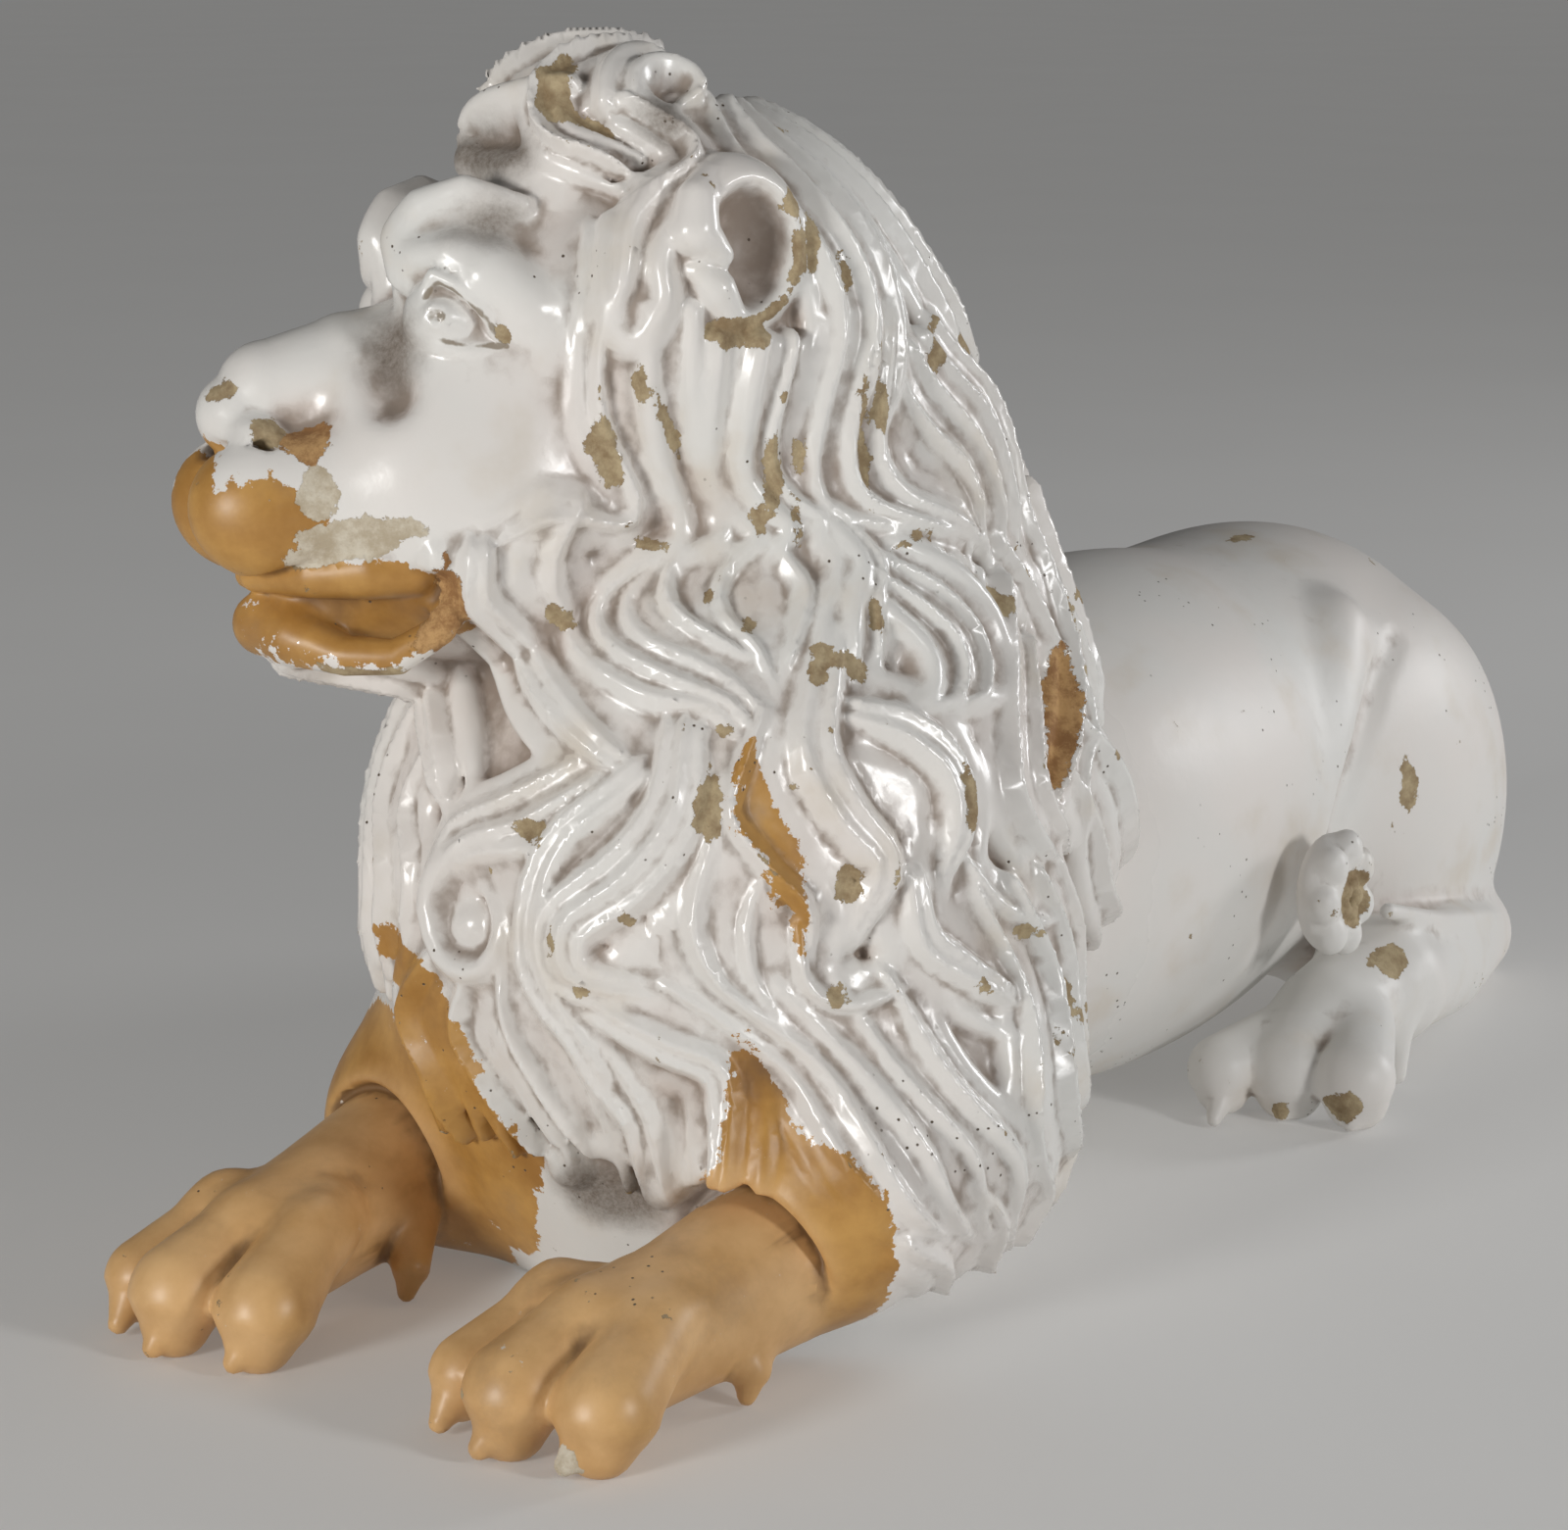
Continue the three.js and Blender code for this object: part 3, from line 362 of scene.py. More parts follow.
# The mane is modelled as locks. Each lies on the mass along a curve through its root, its bends and
# its tip. A place is a bearing round MANE_AT, 0 at the chest and 90 on the near side, and a height
# above the level, both in degrees. A fan runs evenly from one edge lock to the other.
MANE_AT = np.array([-150.0, 3.0, 230.0])
OUTSIDE = 330.0  # a radius round MANE_AT that is clear of the mass
RAY_STEPS = 22
LOCK_SPREAD = 1.15  # widths on the mane times this
THICKNESS = 1.3  # thicknesses times this
STRAND = 10.0  # the width of one strand
FURROW = 3.2  # the depth of the furrow between two strands
KNOTS = 19
LIFT = 0.22  # of its thickness, by which a lock rises from root to tip
TIP_FROM, TIP_DROP = 0.82, 3.5  # beyond this share of its length the tip bends back into the mass
BACK_EDGE = 34.0  # locks that reach past this X, out over the back, are left off
BESIDE = 0.55  # of a lock's width, from its middle to the slender strand at its side
BESIDE_SUNK = 2
# count, width, thickness, edge lock, and for a fan the other edge lock
FANS = [
    # single locks of the near side
    (1, 18, 10, (43, 10, 40, 3, 38, -4, 43, -11, 48, -16, 49, -23)),
    (1, 30, 10, (57, 23, 53, 13, 51, 4, 55, -5, 60, -12, 56, -20)),
    (1, 27, 11, (60, 9, 67, 6, 73, 0, 74, -7, 71, -15)),
    (1, 20, 9, (108, 26, 100, 14, 92, 4, 88, -6, 92, -14, 102, -20)),
    (1, 16, 8, (112, 14, 104, 4, 97, -5, 99, -12, 108, -19)),
    (1, 18, 11, (126, 24, 125, 13, 121, 3, 113, -5, 101, -12)),
    (1, 16, 8, (128, 6, 124, -4, 116, -11, 115, -20)),
    (1, 36, 11, (31, 6, 30, -4, 24, -12, 16, -18, 17, -24, 28, -26)),
    (1, 24, 10, (0, 29, -1, 24, 4, 16, 11, 10, 18, 5, 25, 1)),
    (1, 18, 8, (50, 40, 54, 32, 51, 24, 47, 16)),
    (1, 18, 8, (37, 0, 35, -9, 33, -18, 37, -25, 46, -31)),
    (1, 14, 7, (42, -12, 40, -19, 42, -26, 50, -33)),
    (1, 17, 9, (47, -19, 48, -25, 54, -28, 63, -27)),
    (1, 22, 9, (65, -15, 66, -22, 73, -27, 82, -31)),
    (1, 16, 7, (75, -14, 80, -20, 88, -24, 98, -26)),
    # middle of the near side
    (4, 14, 8, (65, 32, 72, 25, 77, 17, 73, 10, 63, 9), (78, 39, 92, 31, 99, 20, 95, 9, 79, 7)),
    (3, 17, 8, (27, 39, 18, 31, 22, 23, 34, 18, 42, 12, 44, 5),
     (10, 39, 6, 28, 12, 19, 24, 13, 35, 11, 41, 4)),
    (3, 13, 8, (57, 46, 62, 36, 57, 27, 54, 16), (66, 45, 72, 36, 68, 27, 66, 17)),
    (2, 15, 8, (47, 42, 38, 36, 37, 28, 43, 21, 46, 13), (37, 43, 27, 37, 27, 29, 35, 23, 43, 19)),
    (4, 18, 8, (112, 32, 118, 22, 122, 10, 127, 0), (152, 34, 146, 20, 146, 6, 140, -8)),
    (3, 20, 9, (112, -8, 118, -18, 122, -26, 136, -32), (128, 5, 138, -5, 143, -14, 153, -22)),
    # beside the face and under the ear
    (3, 13, 7, (31, 59, 31, 52, 36, 47, 36, 42, 28, 38, 20, 33),
     (15, 57, 13, 50, 17, 45, 15, 41, 8, 37, 2, 31)),
    (3, 13, 8, (36, 58, 34, 52, 42, 46, 45, 42, 38, 39), (53, 60, 48, 54, 54, 49, 60, 45, 58, 39)),
    (1, 13, 6, (14, 63, 17, 56, 24, 57, 28, 62)),
    # from the crown round behind the ear
    (3, 19, 8, (30, 78, 46, 71, 60, 67, 66, 62, 60, 55), (45, 81, 75, 72, 86, 66, 86, 60, 80, 54)),
    (3, 17, 8, (66, 62, 60, 54, 63, 47, 76, 42, 90, 40), (84, 64, 78, 54, 84, 46, 96, 40, 106, 34)),
    (4, 17, 8, (85, 60, 97, 52, 105, 45, 106, 33), (112, 62, 125, 52, 126, 42, 125, 28)),
    (4, 24, 8, (60, 84, 95, 75, 115, 67, 128, 56), (100, 87, 150, 76, 165, 66, 158, 50)),
    # over the near shoulder and down the chest
    (5, 18, 8, (30, -25, 36, -28, 44, -33, 51, -37, 57, -40), (60, -26, 66, -34, 76, -41, 77, -47, 84, -54)),
    (4, 19, 9, (76, -18, 82, -30, 80, -40, 90, -50), (100, -20, 106, -30, 102, -38, 113, -47)),
    (4, 18, 8, (58, -42, 64, -46, 68, -51, 72, -55), (92, -42, 96, -46, 94, -50, 98, -54)),
    (1, 24, 10, (24, 1, 14, -8, 11, -17, 12, -25, 19, -33, 22, -43)),
    (1, 16, 8, (6, -24, 7, -31, 12, -38, 17, -44)),
    (1, 22, 10, (18, -27, 28, -31, 36, -34, 38, -40, 35, -46)),
    (2, 15, 8, (20, -30, 24, -35, 28, -41, 30, -47), (15, -28, 19, -35, 24, -40, 26, -47)),
    (3, 16, 8, (14, 2, 4, -4, -5, -9, -9, -20), (22, -2, 12, -9, 3, -11, -4, -14)),
    (2, 21, 8, (0, -26, -3, -33, 1, -38, 7, -45), (-8, -26, -14, -33, -10, -39, -8, -46)),
    (1, 12, 8, (10, -9, 2, -10, -5, -13, -8, -19, -4, -25, 3, -25, 6, -20, 2, -16)),
    (1, 22, 9, (-24, 12, -18, 6, -12, 0, -9, -6)),
    (3, 20, 7, (-14, 2, -18, -8, -14, -17, -15, -28), (-34, 6, -33, -8, -28, -20, -30, -34)),
    # far side and back, plainer
    (8, 25, 8, (172, 72, 176, 62, 170, 52, 176, 40), (292, 74, 286, 64, 294, 54, 288, 40)),
    (8, 25, 8, (165, 42, 160, 30, 168, 18, 164, 8), (290, 44, 296, 32, 288, 20, 296, 8)),
    (7, 26, 8, (206, 14, 200, 2, 208, -10, 204, -22), (296, 14, 290, 2, 298, -12, 294, -22)),
    (7, 24, 8, (222, -18, 228, -28, 220, -38, 230, -48), (290, -18, 284, -28, 290, -36, 284, -44)),
]
# locks of the forelock and the temple: width, thickness, and places in the head's own frame
HEAD_LOCKS = [
    (15, 10, ((-30, -12, 102), (-8, -15, 103), (12, -14, 99), (24, -10, 90))),
    (15, 12, ((-30, 2, 104), (-12, 8, 100), (5, 5, 99), (20, 0, 96), (27, -5, 88), (25, -6, 78))),
    (13, 11, ((6, 24, 80), (16, 16, 78), (28, 5, 78), (37, -3, 76), (41, -6, 68))),
    (15, 13, ((-14, 12, 101), (5, 18, 98), (16, 22, 88), (18, 26, 75), (12, 32, 64), (3, 40, 57),
              (-6, 47, 50))),
    (10, 10, ((-9, 34, 80), (-11, 33, 89), (-18, 29, 93), (-29, 28, 92), (-34, 32, 84), (-26, 37, 80))),
    (12, 9, ((0, 34, 78), (-2, 30, 86), (-8, 24, 93), (-18, 18, 98), (-32, 18, 102))),
    (16, 12, ((-6, 38, 80), (-18, 46, 73), (-27, 52, 65), (-27, 57, 56), (-17, 59, 48), (-4, 58, 42))),
    (13, 10, ((-24, 60, 54), (-10, 61, 44), (-2, 62, 32), (-1, 62, 18), (4, 60, 2))),
    (13, 9, ((-20, 63, 42), (-17, 63, 33), (-12, 62, 20), (-14, 62, 9), (-3, 61, -4))),
    (14, 10, ((-30, -34, 94), (-6, -38, 90), (14, -38, 80), (26, -32, 70))),
    (14, 10, ((-30, -48, 82), (-12, -54, 72), (-6, -60, 52), (-14, -64, 30))),
]


def through(places):
    """A smooth curve through the places, at KNOTS evenly spaced steps, by the Catmull-Rom formula."""
    p = np.vstack([2 * places[0] - places[1], places, 2 * places[-1] - places[-2]])
    t = np.linspace(0, len(places) - 1, KNOTS)
    i = np.minimum(t.astype(int), len(places) - 2)
    u = (t - i)[:, None]
    a, b, c, d = p[i], p[i + 1], p[i + 2], p[i + 3]
    squared, cubed = 2 * a - 5 * b + 4 * c - d, 3 * b - 3 * c + d - a
    return 0.5 * (2 * b + (c - a) * u + squared * u ** 2 + cubed * u ** 3)


def on_mass(bearings, heights):
    """Points of the mass under bearings and heights, found by stepping in along rays."""
    b, h = np.radians(bearings), np.radians(heights)
    way = np.stack([-np.cos(h) * np.cos(b), -np.cos(h) * np.sin(b), np.sin(h)], 1)
    r = np.full(len(way), OUTSIDE)
    for _ in range(RAY_STEPS):
        r -= core.at(MANE_AT + r[:, None] * way, 400) * 0.9
    return MANE_AT + r[:, None] * way


def eased(rows):
    """Rows but the ends become half themselves and a quarter each neighbour, three times over."""
    for _ in range(3):
        middle = (rows[..., :-2, :] + 2 * rows[..., 1:-1, :] + rows[..., 2:, :]) / 4
        rows = np.concatenate([rows[..., :1, :], middle, rows[..., -1:, :]], -2)
    return rows


def slope(sculpture, p, step=5.0):
    """The direction out of a sculpture, from the difference of its distance either way along each axis."""
    ahead = [sculpture.at(p + step * axis, 60) - sculpture.at(p - step * axis, 60) for axis in np.eye(3)]
    return unit(np.stack(ahead, 1))


class Lock:
    """A flattened bar along a curve: the length of (across / half, out / thick, along / half) less 1, times
    the lesser of half and thick, with flutes across it, depth |sin| deep, whose crests part its strands.
    The flutes fade with the lock's width towards its ends."""

    def __init__(self, line, out, half, thick, strands, depth):
        along = unit(np.gradient(line, axis=0))
        out = unit(out - (out * along).sum(1, keepdims=True) * along)
        self.line, self.half, self.thick = (a.astype(np.float32) for a in (line, half, thick))
        self.axes = np.stack([np.cross(along, out), out, along], 1).astype(np.float32)
        self.strands, self.depth = strands, depth
        reach = half.max() + 4
        self.low, self.high = line.min(0) - reach, line.max(0) + reach

    def dist(self, p):
        nearest = np.full(len(p), 1e9, np.float32)
        found = np.full(len(p), 1e3, np.float32)
        for i in range(len(self.line) - 1):
            ab = self.line[i + 1] - self.line[i]
            q = p - self.line[i]
            t = np.clip(q @ ab / (ab @ ab), 0, 1)
            q = q - t[:, None] * ab
            far = (q * q).sum(1)
            pick = np.flatnonzero(far < nearest)
            if not len(pick):
                continue
            nearest[pick] = far[pick]
            q, t = q[pick], t[pick, None]
            half = (self.half[i] * (1 - t) + self.half[i + 1] * t)[:, 0]
            thick = (self.thick[i] * (1 - t) + self.thick[i + 1] * t)[:, 0]
            across, out, along = ((q @ self.axes[i].T) * (1 - t) + (q @ self.axes[i + 1].T) * t).T
            across = across / half
            ring = np.sqrt(across ** 2 + (out / thick) ** 2 + (along / half) ** 2)
            flute = np.abs(np.sin(np.pi * self.strands * (np.clip(across, -1, 1) + 1) / 2))
            found[pick] = (ring - 1) * np.minimum(thick, half) + self.depth * flute * half / self.half.max()
        return found


lock_rows = []
for count, width, thickness, first, *others in FANS:
    first = np.array(first, float).reshape(-1, 2)
    last = np.array(others[0], float).reshape(-1, 2) if others else first
    for i in range(count):
        f = i / max(count - 1, 1)
        uneven = count > 1
        lock_rows.append((through(first * (1 - f) + last * f),
                          LOCK_SPREAD * width * (1 + uneven * 0.12 * ((i * 7) % 3 - 1)),
                          thickness * (1 + uneven * 0.1 * ((i * 5) % 3 - 1))))
places = np.concatenate([row[0] for row in lock_rows])
lines = on_mass(places[:, 0], places[:, 1]).reshape(-1, KNOTS, 3)
for width, thickness, spots in HEAD_LOCKS:
    line = through(np.array(spots, float)) @ HEAD_AXES.T + HEAD_AT
    for _ in range(3):
        line -= slope(core, line) * core.at(line, 60)[:, None]
    lines = np.concatenate([lines, eased(line)[None]])
    lock_rows.append((line, width, thickness))
outs = unit(eased(slope(core, lines.reshape(-1, 3)).reshape(-1, KNOTS, 3)))
u = np.linspace(0, 1, KNOTS)
fullness = 0.08 + 0.92 * np.sin(np.pi * (0.16 + 0.75 * u) ** 0.9) ** 0.7
over, under = [], []
for line, out, (_, width, thickness) in zip(lines, outs, lock_rows):
    if (line[:, 0] > BACK_EDGE).any():
        continue
    half = width / 2 * fullness
    thick = thickness * THICKNESS * (0.5 + 0.5 * fullness)
    strands = max(1, round(width / STRAND))
    depth = FURROW * min(1, (width / strands) / STRAND) * (strands > 1)
    lift = thickness * (LIFT * u - TIP_DROP * np.maximum(u - TIP_FROM, 0))
    over.append(Lock(line + out * lift[:, None], out, half, thick, strands, depth))
    # a slender strand comes out from under each side of it
    across = np.cross(unit(np.gradient(line, axis=0)), out)
    for side in (-1, 1):
        beside = line + across * (side * width * BESIDE)
        beside -= eased(out * core.at(beside.astype(np.float32), 60)[:, None]) + out * BESIDE_SUNK
        under.append(Lock(beside, out, np.maximum(half * 0.5, 2.0), thick * 0.55, 1, 0.0))
for lock in under:
    lion.join(lock, 3)
for lock in over:
    lion.join(lock, 3)
# where locks part, the mass comes up between them, at these bearings and heights; the curl on the
# chest has a knob in its middle
PARTING_RADIUS, PARTING_SUNK = 10, 7
PARTINGS = np.array([(43.9, 30.9), (26, 5.3), (27.9, -23.2), (55.2, -16.8), (54, -20), (69.7, -9.4),
                     (90, -15), (44, -12), (63, -21.5), (20, -43), (28, -46), (12, -47)])
spots = on_mass(PARTINGS[:, 0], PARTINGS[:, 1])
for spot, out in zip(spots, slope(core, spots)):
    lion.join(Ball(spot - PARTING_SUNK * out, (PARTING_RADIUS,) * 3), 5)
lion.join(Ball((-304, 5, 169), (12, 11, 12)), 2)


# The fore legs lie flat and stretched forward. The hair round each elbow opens as a sleeve does, and
# the arm comes out of it; the paw has three knuckled toes with claws, and a dewclaw on its left side.
PAW_SPAN = 68.0
LEG_RADIUS = 30.0
TOES = ((-385, 22, 14), (-395, 25, 20), (-388, 24, 20))  # X, height and radius of each toe's end


def fore_leg(y, elbow, claws, toes_at, dew):
    """A gap inside the hair round the elbow, then arm, wrist, toes with knuckles and claws, and dewclaw."""
    ex, ey, ez, er = elbow
    lion.cut(Bar((-340, y, 30, 46), (ex - 22, ey, ez + 2, er + 3)), 5)
    lion.join(Bar((ex + 40, ey, ez, er), elbow, (-310, (y + ey) / 2, 34, LEG_RADIUS),
                  (-350, y, 30, LEG_RADIUS - 2)), 5)
    for (toe_x, toe_z, toe_r), place, claw_y in zip(TOES, toes_at, claws):
        toe_y = y + place * PAW_SPAN
        lion.join(Bar((-330, (toe_y + y) / 2, 42, toe_r * 0.8),
                      (toe_x + 30, (toe_y * 4 + y) / 5, 36, toe_r * 0.85),
                      (toe_x + 4, toe_y, toe_z, toe_r)), 4)
        lion.join(Ball((toe_x + 42, (toe_y * 3 + y) / 4, 42), (17, 12, 14)), 8)
        lion.join(Bar((toe_x + 2, toe_y, toe_z - 4, toe_r), (toe_x, toe_y, 12, toe_r * 0.7)), 3)
        lion.join(Bar((toe_x - 3, (toe_y * 2 + claw_y) / 3, 15, 10), (toe_x - 13, claw_y, 6, 4.5)), 2)
    dew_x, dew_y = dew
    lion.join(Bar((dew_x + 14, dew_y + 13, 24, 12), (dew_x, dew_y, 14, 8), (dew_x - 3, dew_y, 4, 4)), 6)


fore_leg(-96, (-262, -104, 40, 34), (-50, -78, -113), (0.68, 0.2, -0.34), (-303, -125))
fore_leg(84, (-258, 92, 40, 34), (119, 90, 53), (0.56, 0.09, -0.48), (-298, 52))

# The tail ends in a tuft that lies against the near flank: a rosette of seven petals, its middle lost
# and lumpy where it broke.
TUFT_X, TUFT_Y, TUFT_Z = 148, -128, 103
PETALS, LUMPS = 7, 5
lion.join(Ball((TUFT_X, TUFT_Y, TUFT_Z), (24, 12, 29), (0, -12, 0)), 4)
for petal in range(PETALS):
    turn = 0.5 + petal * 2 * math.pi / PETALS
    lion.join(Ball((TUFT_X + 17 * math.cos(turn), TUFT_Y - 6, TUFT_Z + 21 * math.sin(turn)),
                   (9, 8, 10), (0, 20 * math.cos(turn), 0)), 1.5)
lion.cut(Ball((TUFT_X + 2, TUFT_Y - 15, TUFT_Z - 2), (11, 9, 13)), 3)
for lump in range(LUMPS):
    turn = lump * 2 * math.pi / LUMPS
    lion.join(Ball((TUFT_X + 2 + 6 * math.cos(turn), TUFT_Y - 9, TUFT_Z - 2 + 7 * math.sin(turn)),
                   (4, 4, 4.5)), 1)


# Brows, eyes, lips, nostrils and ears are modelled over the hair's edge: thick brows that swing down
# outside the eyes, a hollow above each, almond eyes with a lid like a cord, a split upper lip, and a
# full lower lip that hangs open at the side. Each s is a side of the head.
# brow: its body, the ridge along its top, and the fleshy hood that swings down outside the eye
lion.both("join", lambda s: Ball((67, 23 * s, 24), (18, 15, 25)), 6)
lion.both("join", lambda s: Ball((46, 24 * s, 30), (25, 23, 23)), 8)
lion.both("join", lambda s: Bar((79, 20 * s, 34, 5), (72, 28 * s, 47, 5), (57, 37 * s, 53, 5),
                                (36, 46 * s, 47, 3)), 10)
lion.both("join", lambda s: Bar((74, 36 * s, 27, 6), (63, 44 * s, 27, 9), (50, 49 * s, 19, 14),
                                (36, 51 * s, 6, 15), (28, 53 * s, -9, 10)), 6)
lion.both("join", lambda s: Bar((44, 2 * s, 62, 5), (34, 28 * s, 60, 6), (20, 44 * s, 50, 4)), 8)
lion.both("cut", lambda s: Bar((87, 12 * s, 25, 2), (84, 20 * s, 14, 3), (79, 31 * s, 8, 2)), 3)
lion.both("cut", lambda s: Bar((94, 32 * s, -6, 6), (88, 44 * s, -26, 7)), 14)
# eye: an almond hollow with a ball in it, a cord-like lid above, a thin one below, and a pitted pupil
lion.both("join", lambda s: Ball((62, 40 * s, 3), (20, 15, 18)), 3)
lion.both("cut", lambda s: Bar((71, 54 * s, 9, 7), (64, 59 * s, 4, 9), (54, 62 * s, -1, 6)), 1.5)
lion.both("join", lambda s: Ball((64, 41.5 * s, 2), (16, 14, 13)), 0.5)
lion.both("join", lambda s: Bar((77, 43 * s, 2, 1.5), (75.5, 45 * s, 12, 2.2), (72, 49 * s, 20, 2.8),
                                (64, 54 * s, 16, 2.8), (55, 57.5 * s, 7, 2.6), (47, 57.5 * s, -6, 2)), 0.8)
lion.both("join", lambda s: Bar((77, 43 * s, -4, 1.6), (69, 51 * s, -8, 2.2), (58, 55 * s, -9, 2.2),
                                (46, 57.5 * s, -8, 1.6)), 1.2)
lion.both("join", lambda s: Ball((70, 51 * s, 4), (6.5, 5.5, 6.5)), 0.5)
lion.both("cut", lambda s: Ball((74, 56 * s, 4.5), (3.4, 3.8, 3.4)), 0.3)
# nose, with a cut from each nostril to the wing, and the split of the upper lip
lion.join(InHead(Ball((141, 0, -36), (13, 17, 14))), 5)
lion.both("join", lambda s: Ball((135, 17 * s, -43), (11, 11, 9)), 4)
lion.both("cut", lambda s: Bar((151, 9 * s, -49, 4), (141, 20 * s, -51, 5), (132, 29 * s, -46, 3.5)), 3)
lion.cut(InHead(Bar((148, 0, -52, 2.5), (160, 0, -72, 3), (155, 0, -98, 3))), 2)
# open mouth, gum and lower lip, which is full in front and thin along the side
for s in (1, -1):
    lion.cut(InHead(Bar((142, 6 * s, -100, 6), (118, 39 * s, -103, 12), (96, 51 * s, -105, 15),
                        (76, 57 * s, -103, 10))), 3)
    lion.join(InHead(Bar((134, 5 * s, -98, 6), (115, 27 * s, -96, 9), (94, 38 * s, -93, 12),
                         (78, 43 * s, -94, 10))), 1)
    lion.join(InHead(Bar((129, 0, -117, 12), (120, 15 * s, -121, 12), (104, 32 * s, -127, 8),
                         (86, 43 * s, -127, 7), (70, 50 * s, -116, 6), (64, 52 * s, -104, 5))), 4)
# ear: a bowl on the side of the head, its front rim folded in and curled at the lower end
for s in (1, -1):
    lion.join(InHead(Ball((-41, 65 * s, 31), (30, 24, 36))), 3)
    lion.cut(InHead(Ball((-47, 92 * s, 31), (21, 29, 28))), 3)
    lion.join(InHead(Bar((-30, 74 * s, 58, 5), (-23, 81 * s, 49, 8), (-22, 82 * s, 37, 10),
                         (-32, 80 * s, 28, 6))), 2)
    lion.join(InHead(Bar((-24, 80 * s, 22, 6), (-31, 80 * s, 15, 8), (-38, 75 * s, 4, 7))), 1)


# The skin: a coarse pass finds the blocks that the surface crosses, and only those are filled finely.
CELL = 1.8
PER_BLOCK = 6
BLOCK = CELL * PER_BLOCK
TRIANGLES = 195000
GRID_HIGH = np.array([442.0, 190.0, 528.0])
AWAY = 50  # the size of the distance given to blocks away from the skin
HALF_DIAGONAL = 0.87  # of a block's edge, from its middle to a corner
low = np.array([-432.0, -190.0, -2 * BLOCK + CELL / 2])
counts = np.ceil((GRID_HIGH - low) / BLOCK).astype(int)


def fine_values():
    """The lion's distance on the whole grid, exact near the skin, and AWAY or its negative elsewhere."""
    index = np.stack(np.meshgrid(*(np.arange(n) for n in counts), indexing="ij"), -1).reshape(-1, 3)
    corners = (low + index * BLOCK).astype(np.float32)
    half = (BLOCK - CELL) / 2
    rough = np.concatenate([lion.at(part) for part in np.array_split(corners + half, 8)])
    value = np.where(rough < 0, -AWAY, AWAY).astype(np.float32)[:, None].repeat(PER_BLOCK ** 3, 1)
    near = np.flatnonzero((np.abs(rough) < BLOCK * HALF_DIAGONAL + 5) & (corners[:, 2] > -BLOCK - CELL))
    steps = np.arange(PER_BLOCK) * CELL
    offsets = np.stack(np.meshgrid(steps, steps, steps, indexing="ij"), -1).reshape(-1, 3)
    offsets = offsets.astype(np.float32)
    value[near] = lion.on_blocks(corners[near], offsets, half)
    cube = value.reshape(*counts, PER_BLOCK, PER_BLOCK, PER_BLOCK).transpose(0, 3, 1, 4, 2, 5)
    value = np.ascontiguousarray(cube).reshape(*(counts * PER_BLOCK))
    # the lion stands flat on the floor
    height_there = low[2] + np.arange(value.shape[2]) * CELL
    return np.maximum(value, -height_there.astype(np.float32))


def nets(value, low, cell):
    """Surface nets: a point in each grid cell that the surface crosses, at the mean of the crossings of
    the cell's edges, and a face round each grid edge that it crosses."""
    flat = value.ravel()
    inside = flat < 0
    strides = (value.shape[1] * value.shape[2], value.shape[2], 1)
    cells, crossings, faces = [], [], []
    for axis in range(3):
        step, s1, s2 = strides[axis], strides[(axis + 1) % 3], strides[(axis + 2) % 3]
        start = np.flatnonzero(inside[:-step] != inside[step:])
        a, b = flat[start], flat[start + step]
        place = np.stack(np.unravel_index(start, value.shape), 1).astype(float)
        place[:, axis] += a / (a - b)
        ring = np.stack([start - s1 - s2, start - s2, start, start - s1], 1)
        cells.append(ring.ravel())
        crossings.append(place.repeat(4, axis=0))
        faces.append(np.where((a < 0)[:, None], ring, ring[:, ::-1]))
    names, which = np.unique(np.concatenate(cells), return_inverse=True)
    crossings = np.concatenate(crossings)
    total = np.bincount(which)
    points = np.stack([np.bincount(which, crossings[:, i]) / total for i in range(3)], 1)
    return points * cell + low, np.searchsorted(names, np.concatenate(faces))


def new_mesh(name, points, faces):
    """A mesh from an array of points and one of faces with four corners each."""
    mesh = bpy.data.meshes.new(name)
    mesh.vertices.add(len(points))
    mesh.vertices.foreach_set("co", points.astype(np.float32).ravel())
    mesh.loops.add(faces.size)
    mesh.loops.foreach_set("vertex_index", faces.astype(np.int32).ravel())
    mesh.polygons.add(len(faces))
    mesh.polygons.foreach_set("loop_start", np.arange(len(faces), dtype=np.int32) * 4)
    mesh.update(calc_edges=True)
    return mesh


points, faces = nets(fine_values(), low, CELL)
points[:, 2] = np.maximum(points[:, 2], 0)
skin_mesh = new_mesh("lion_skin", (points + MIDDLE) * MM, faces)
skin = bpy.data.objects.new("lion_skin", skin_mesh)
bpy.context.scene.collection.objects.link(skin)
thin = skin.modifiers.new("thin", "DECIMATE")
thin.ratio = min(1.0, TRIANGLES / (2 * len(faces)))
lion_mesh = bpy.data.meshes.new_from_object(skin.evaluated_get(bpy.context.evaluated_depsgraph_get()))
bpy.data.objects.remove(skin)
lion_mesh.name = "glazed_lion"
lion_object = bpy.data.objects.new("glazed_lion", lion_mesh)
bpy.context.scene.collection.objects.link(lion_object)
lion_mesh.polygons.foreach_set("use_smooth", np.ones(len(lion_mesh.polygons), bool))

place = np.empty(len(lion_mesh.vertices) * 3, np.float32)
lion_mesh.vertices.foreach_get("co", place)
place = place.reshape(-1, 3) / MM - MIDDLE
edges = np.empty(len(lion_mesh.edges) * 2, np.int32)
lion_mesh.edges.foreach_get("vertices", edges)
edges = edges.reshape(-1, 2)
normal = np.empty(len(lion_mesh.vertices) * 3, np.float32)
lion_mesh.vertex_normals.foreach_get("vector", normal)
normal = normal.reshape(-1, 3)


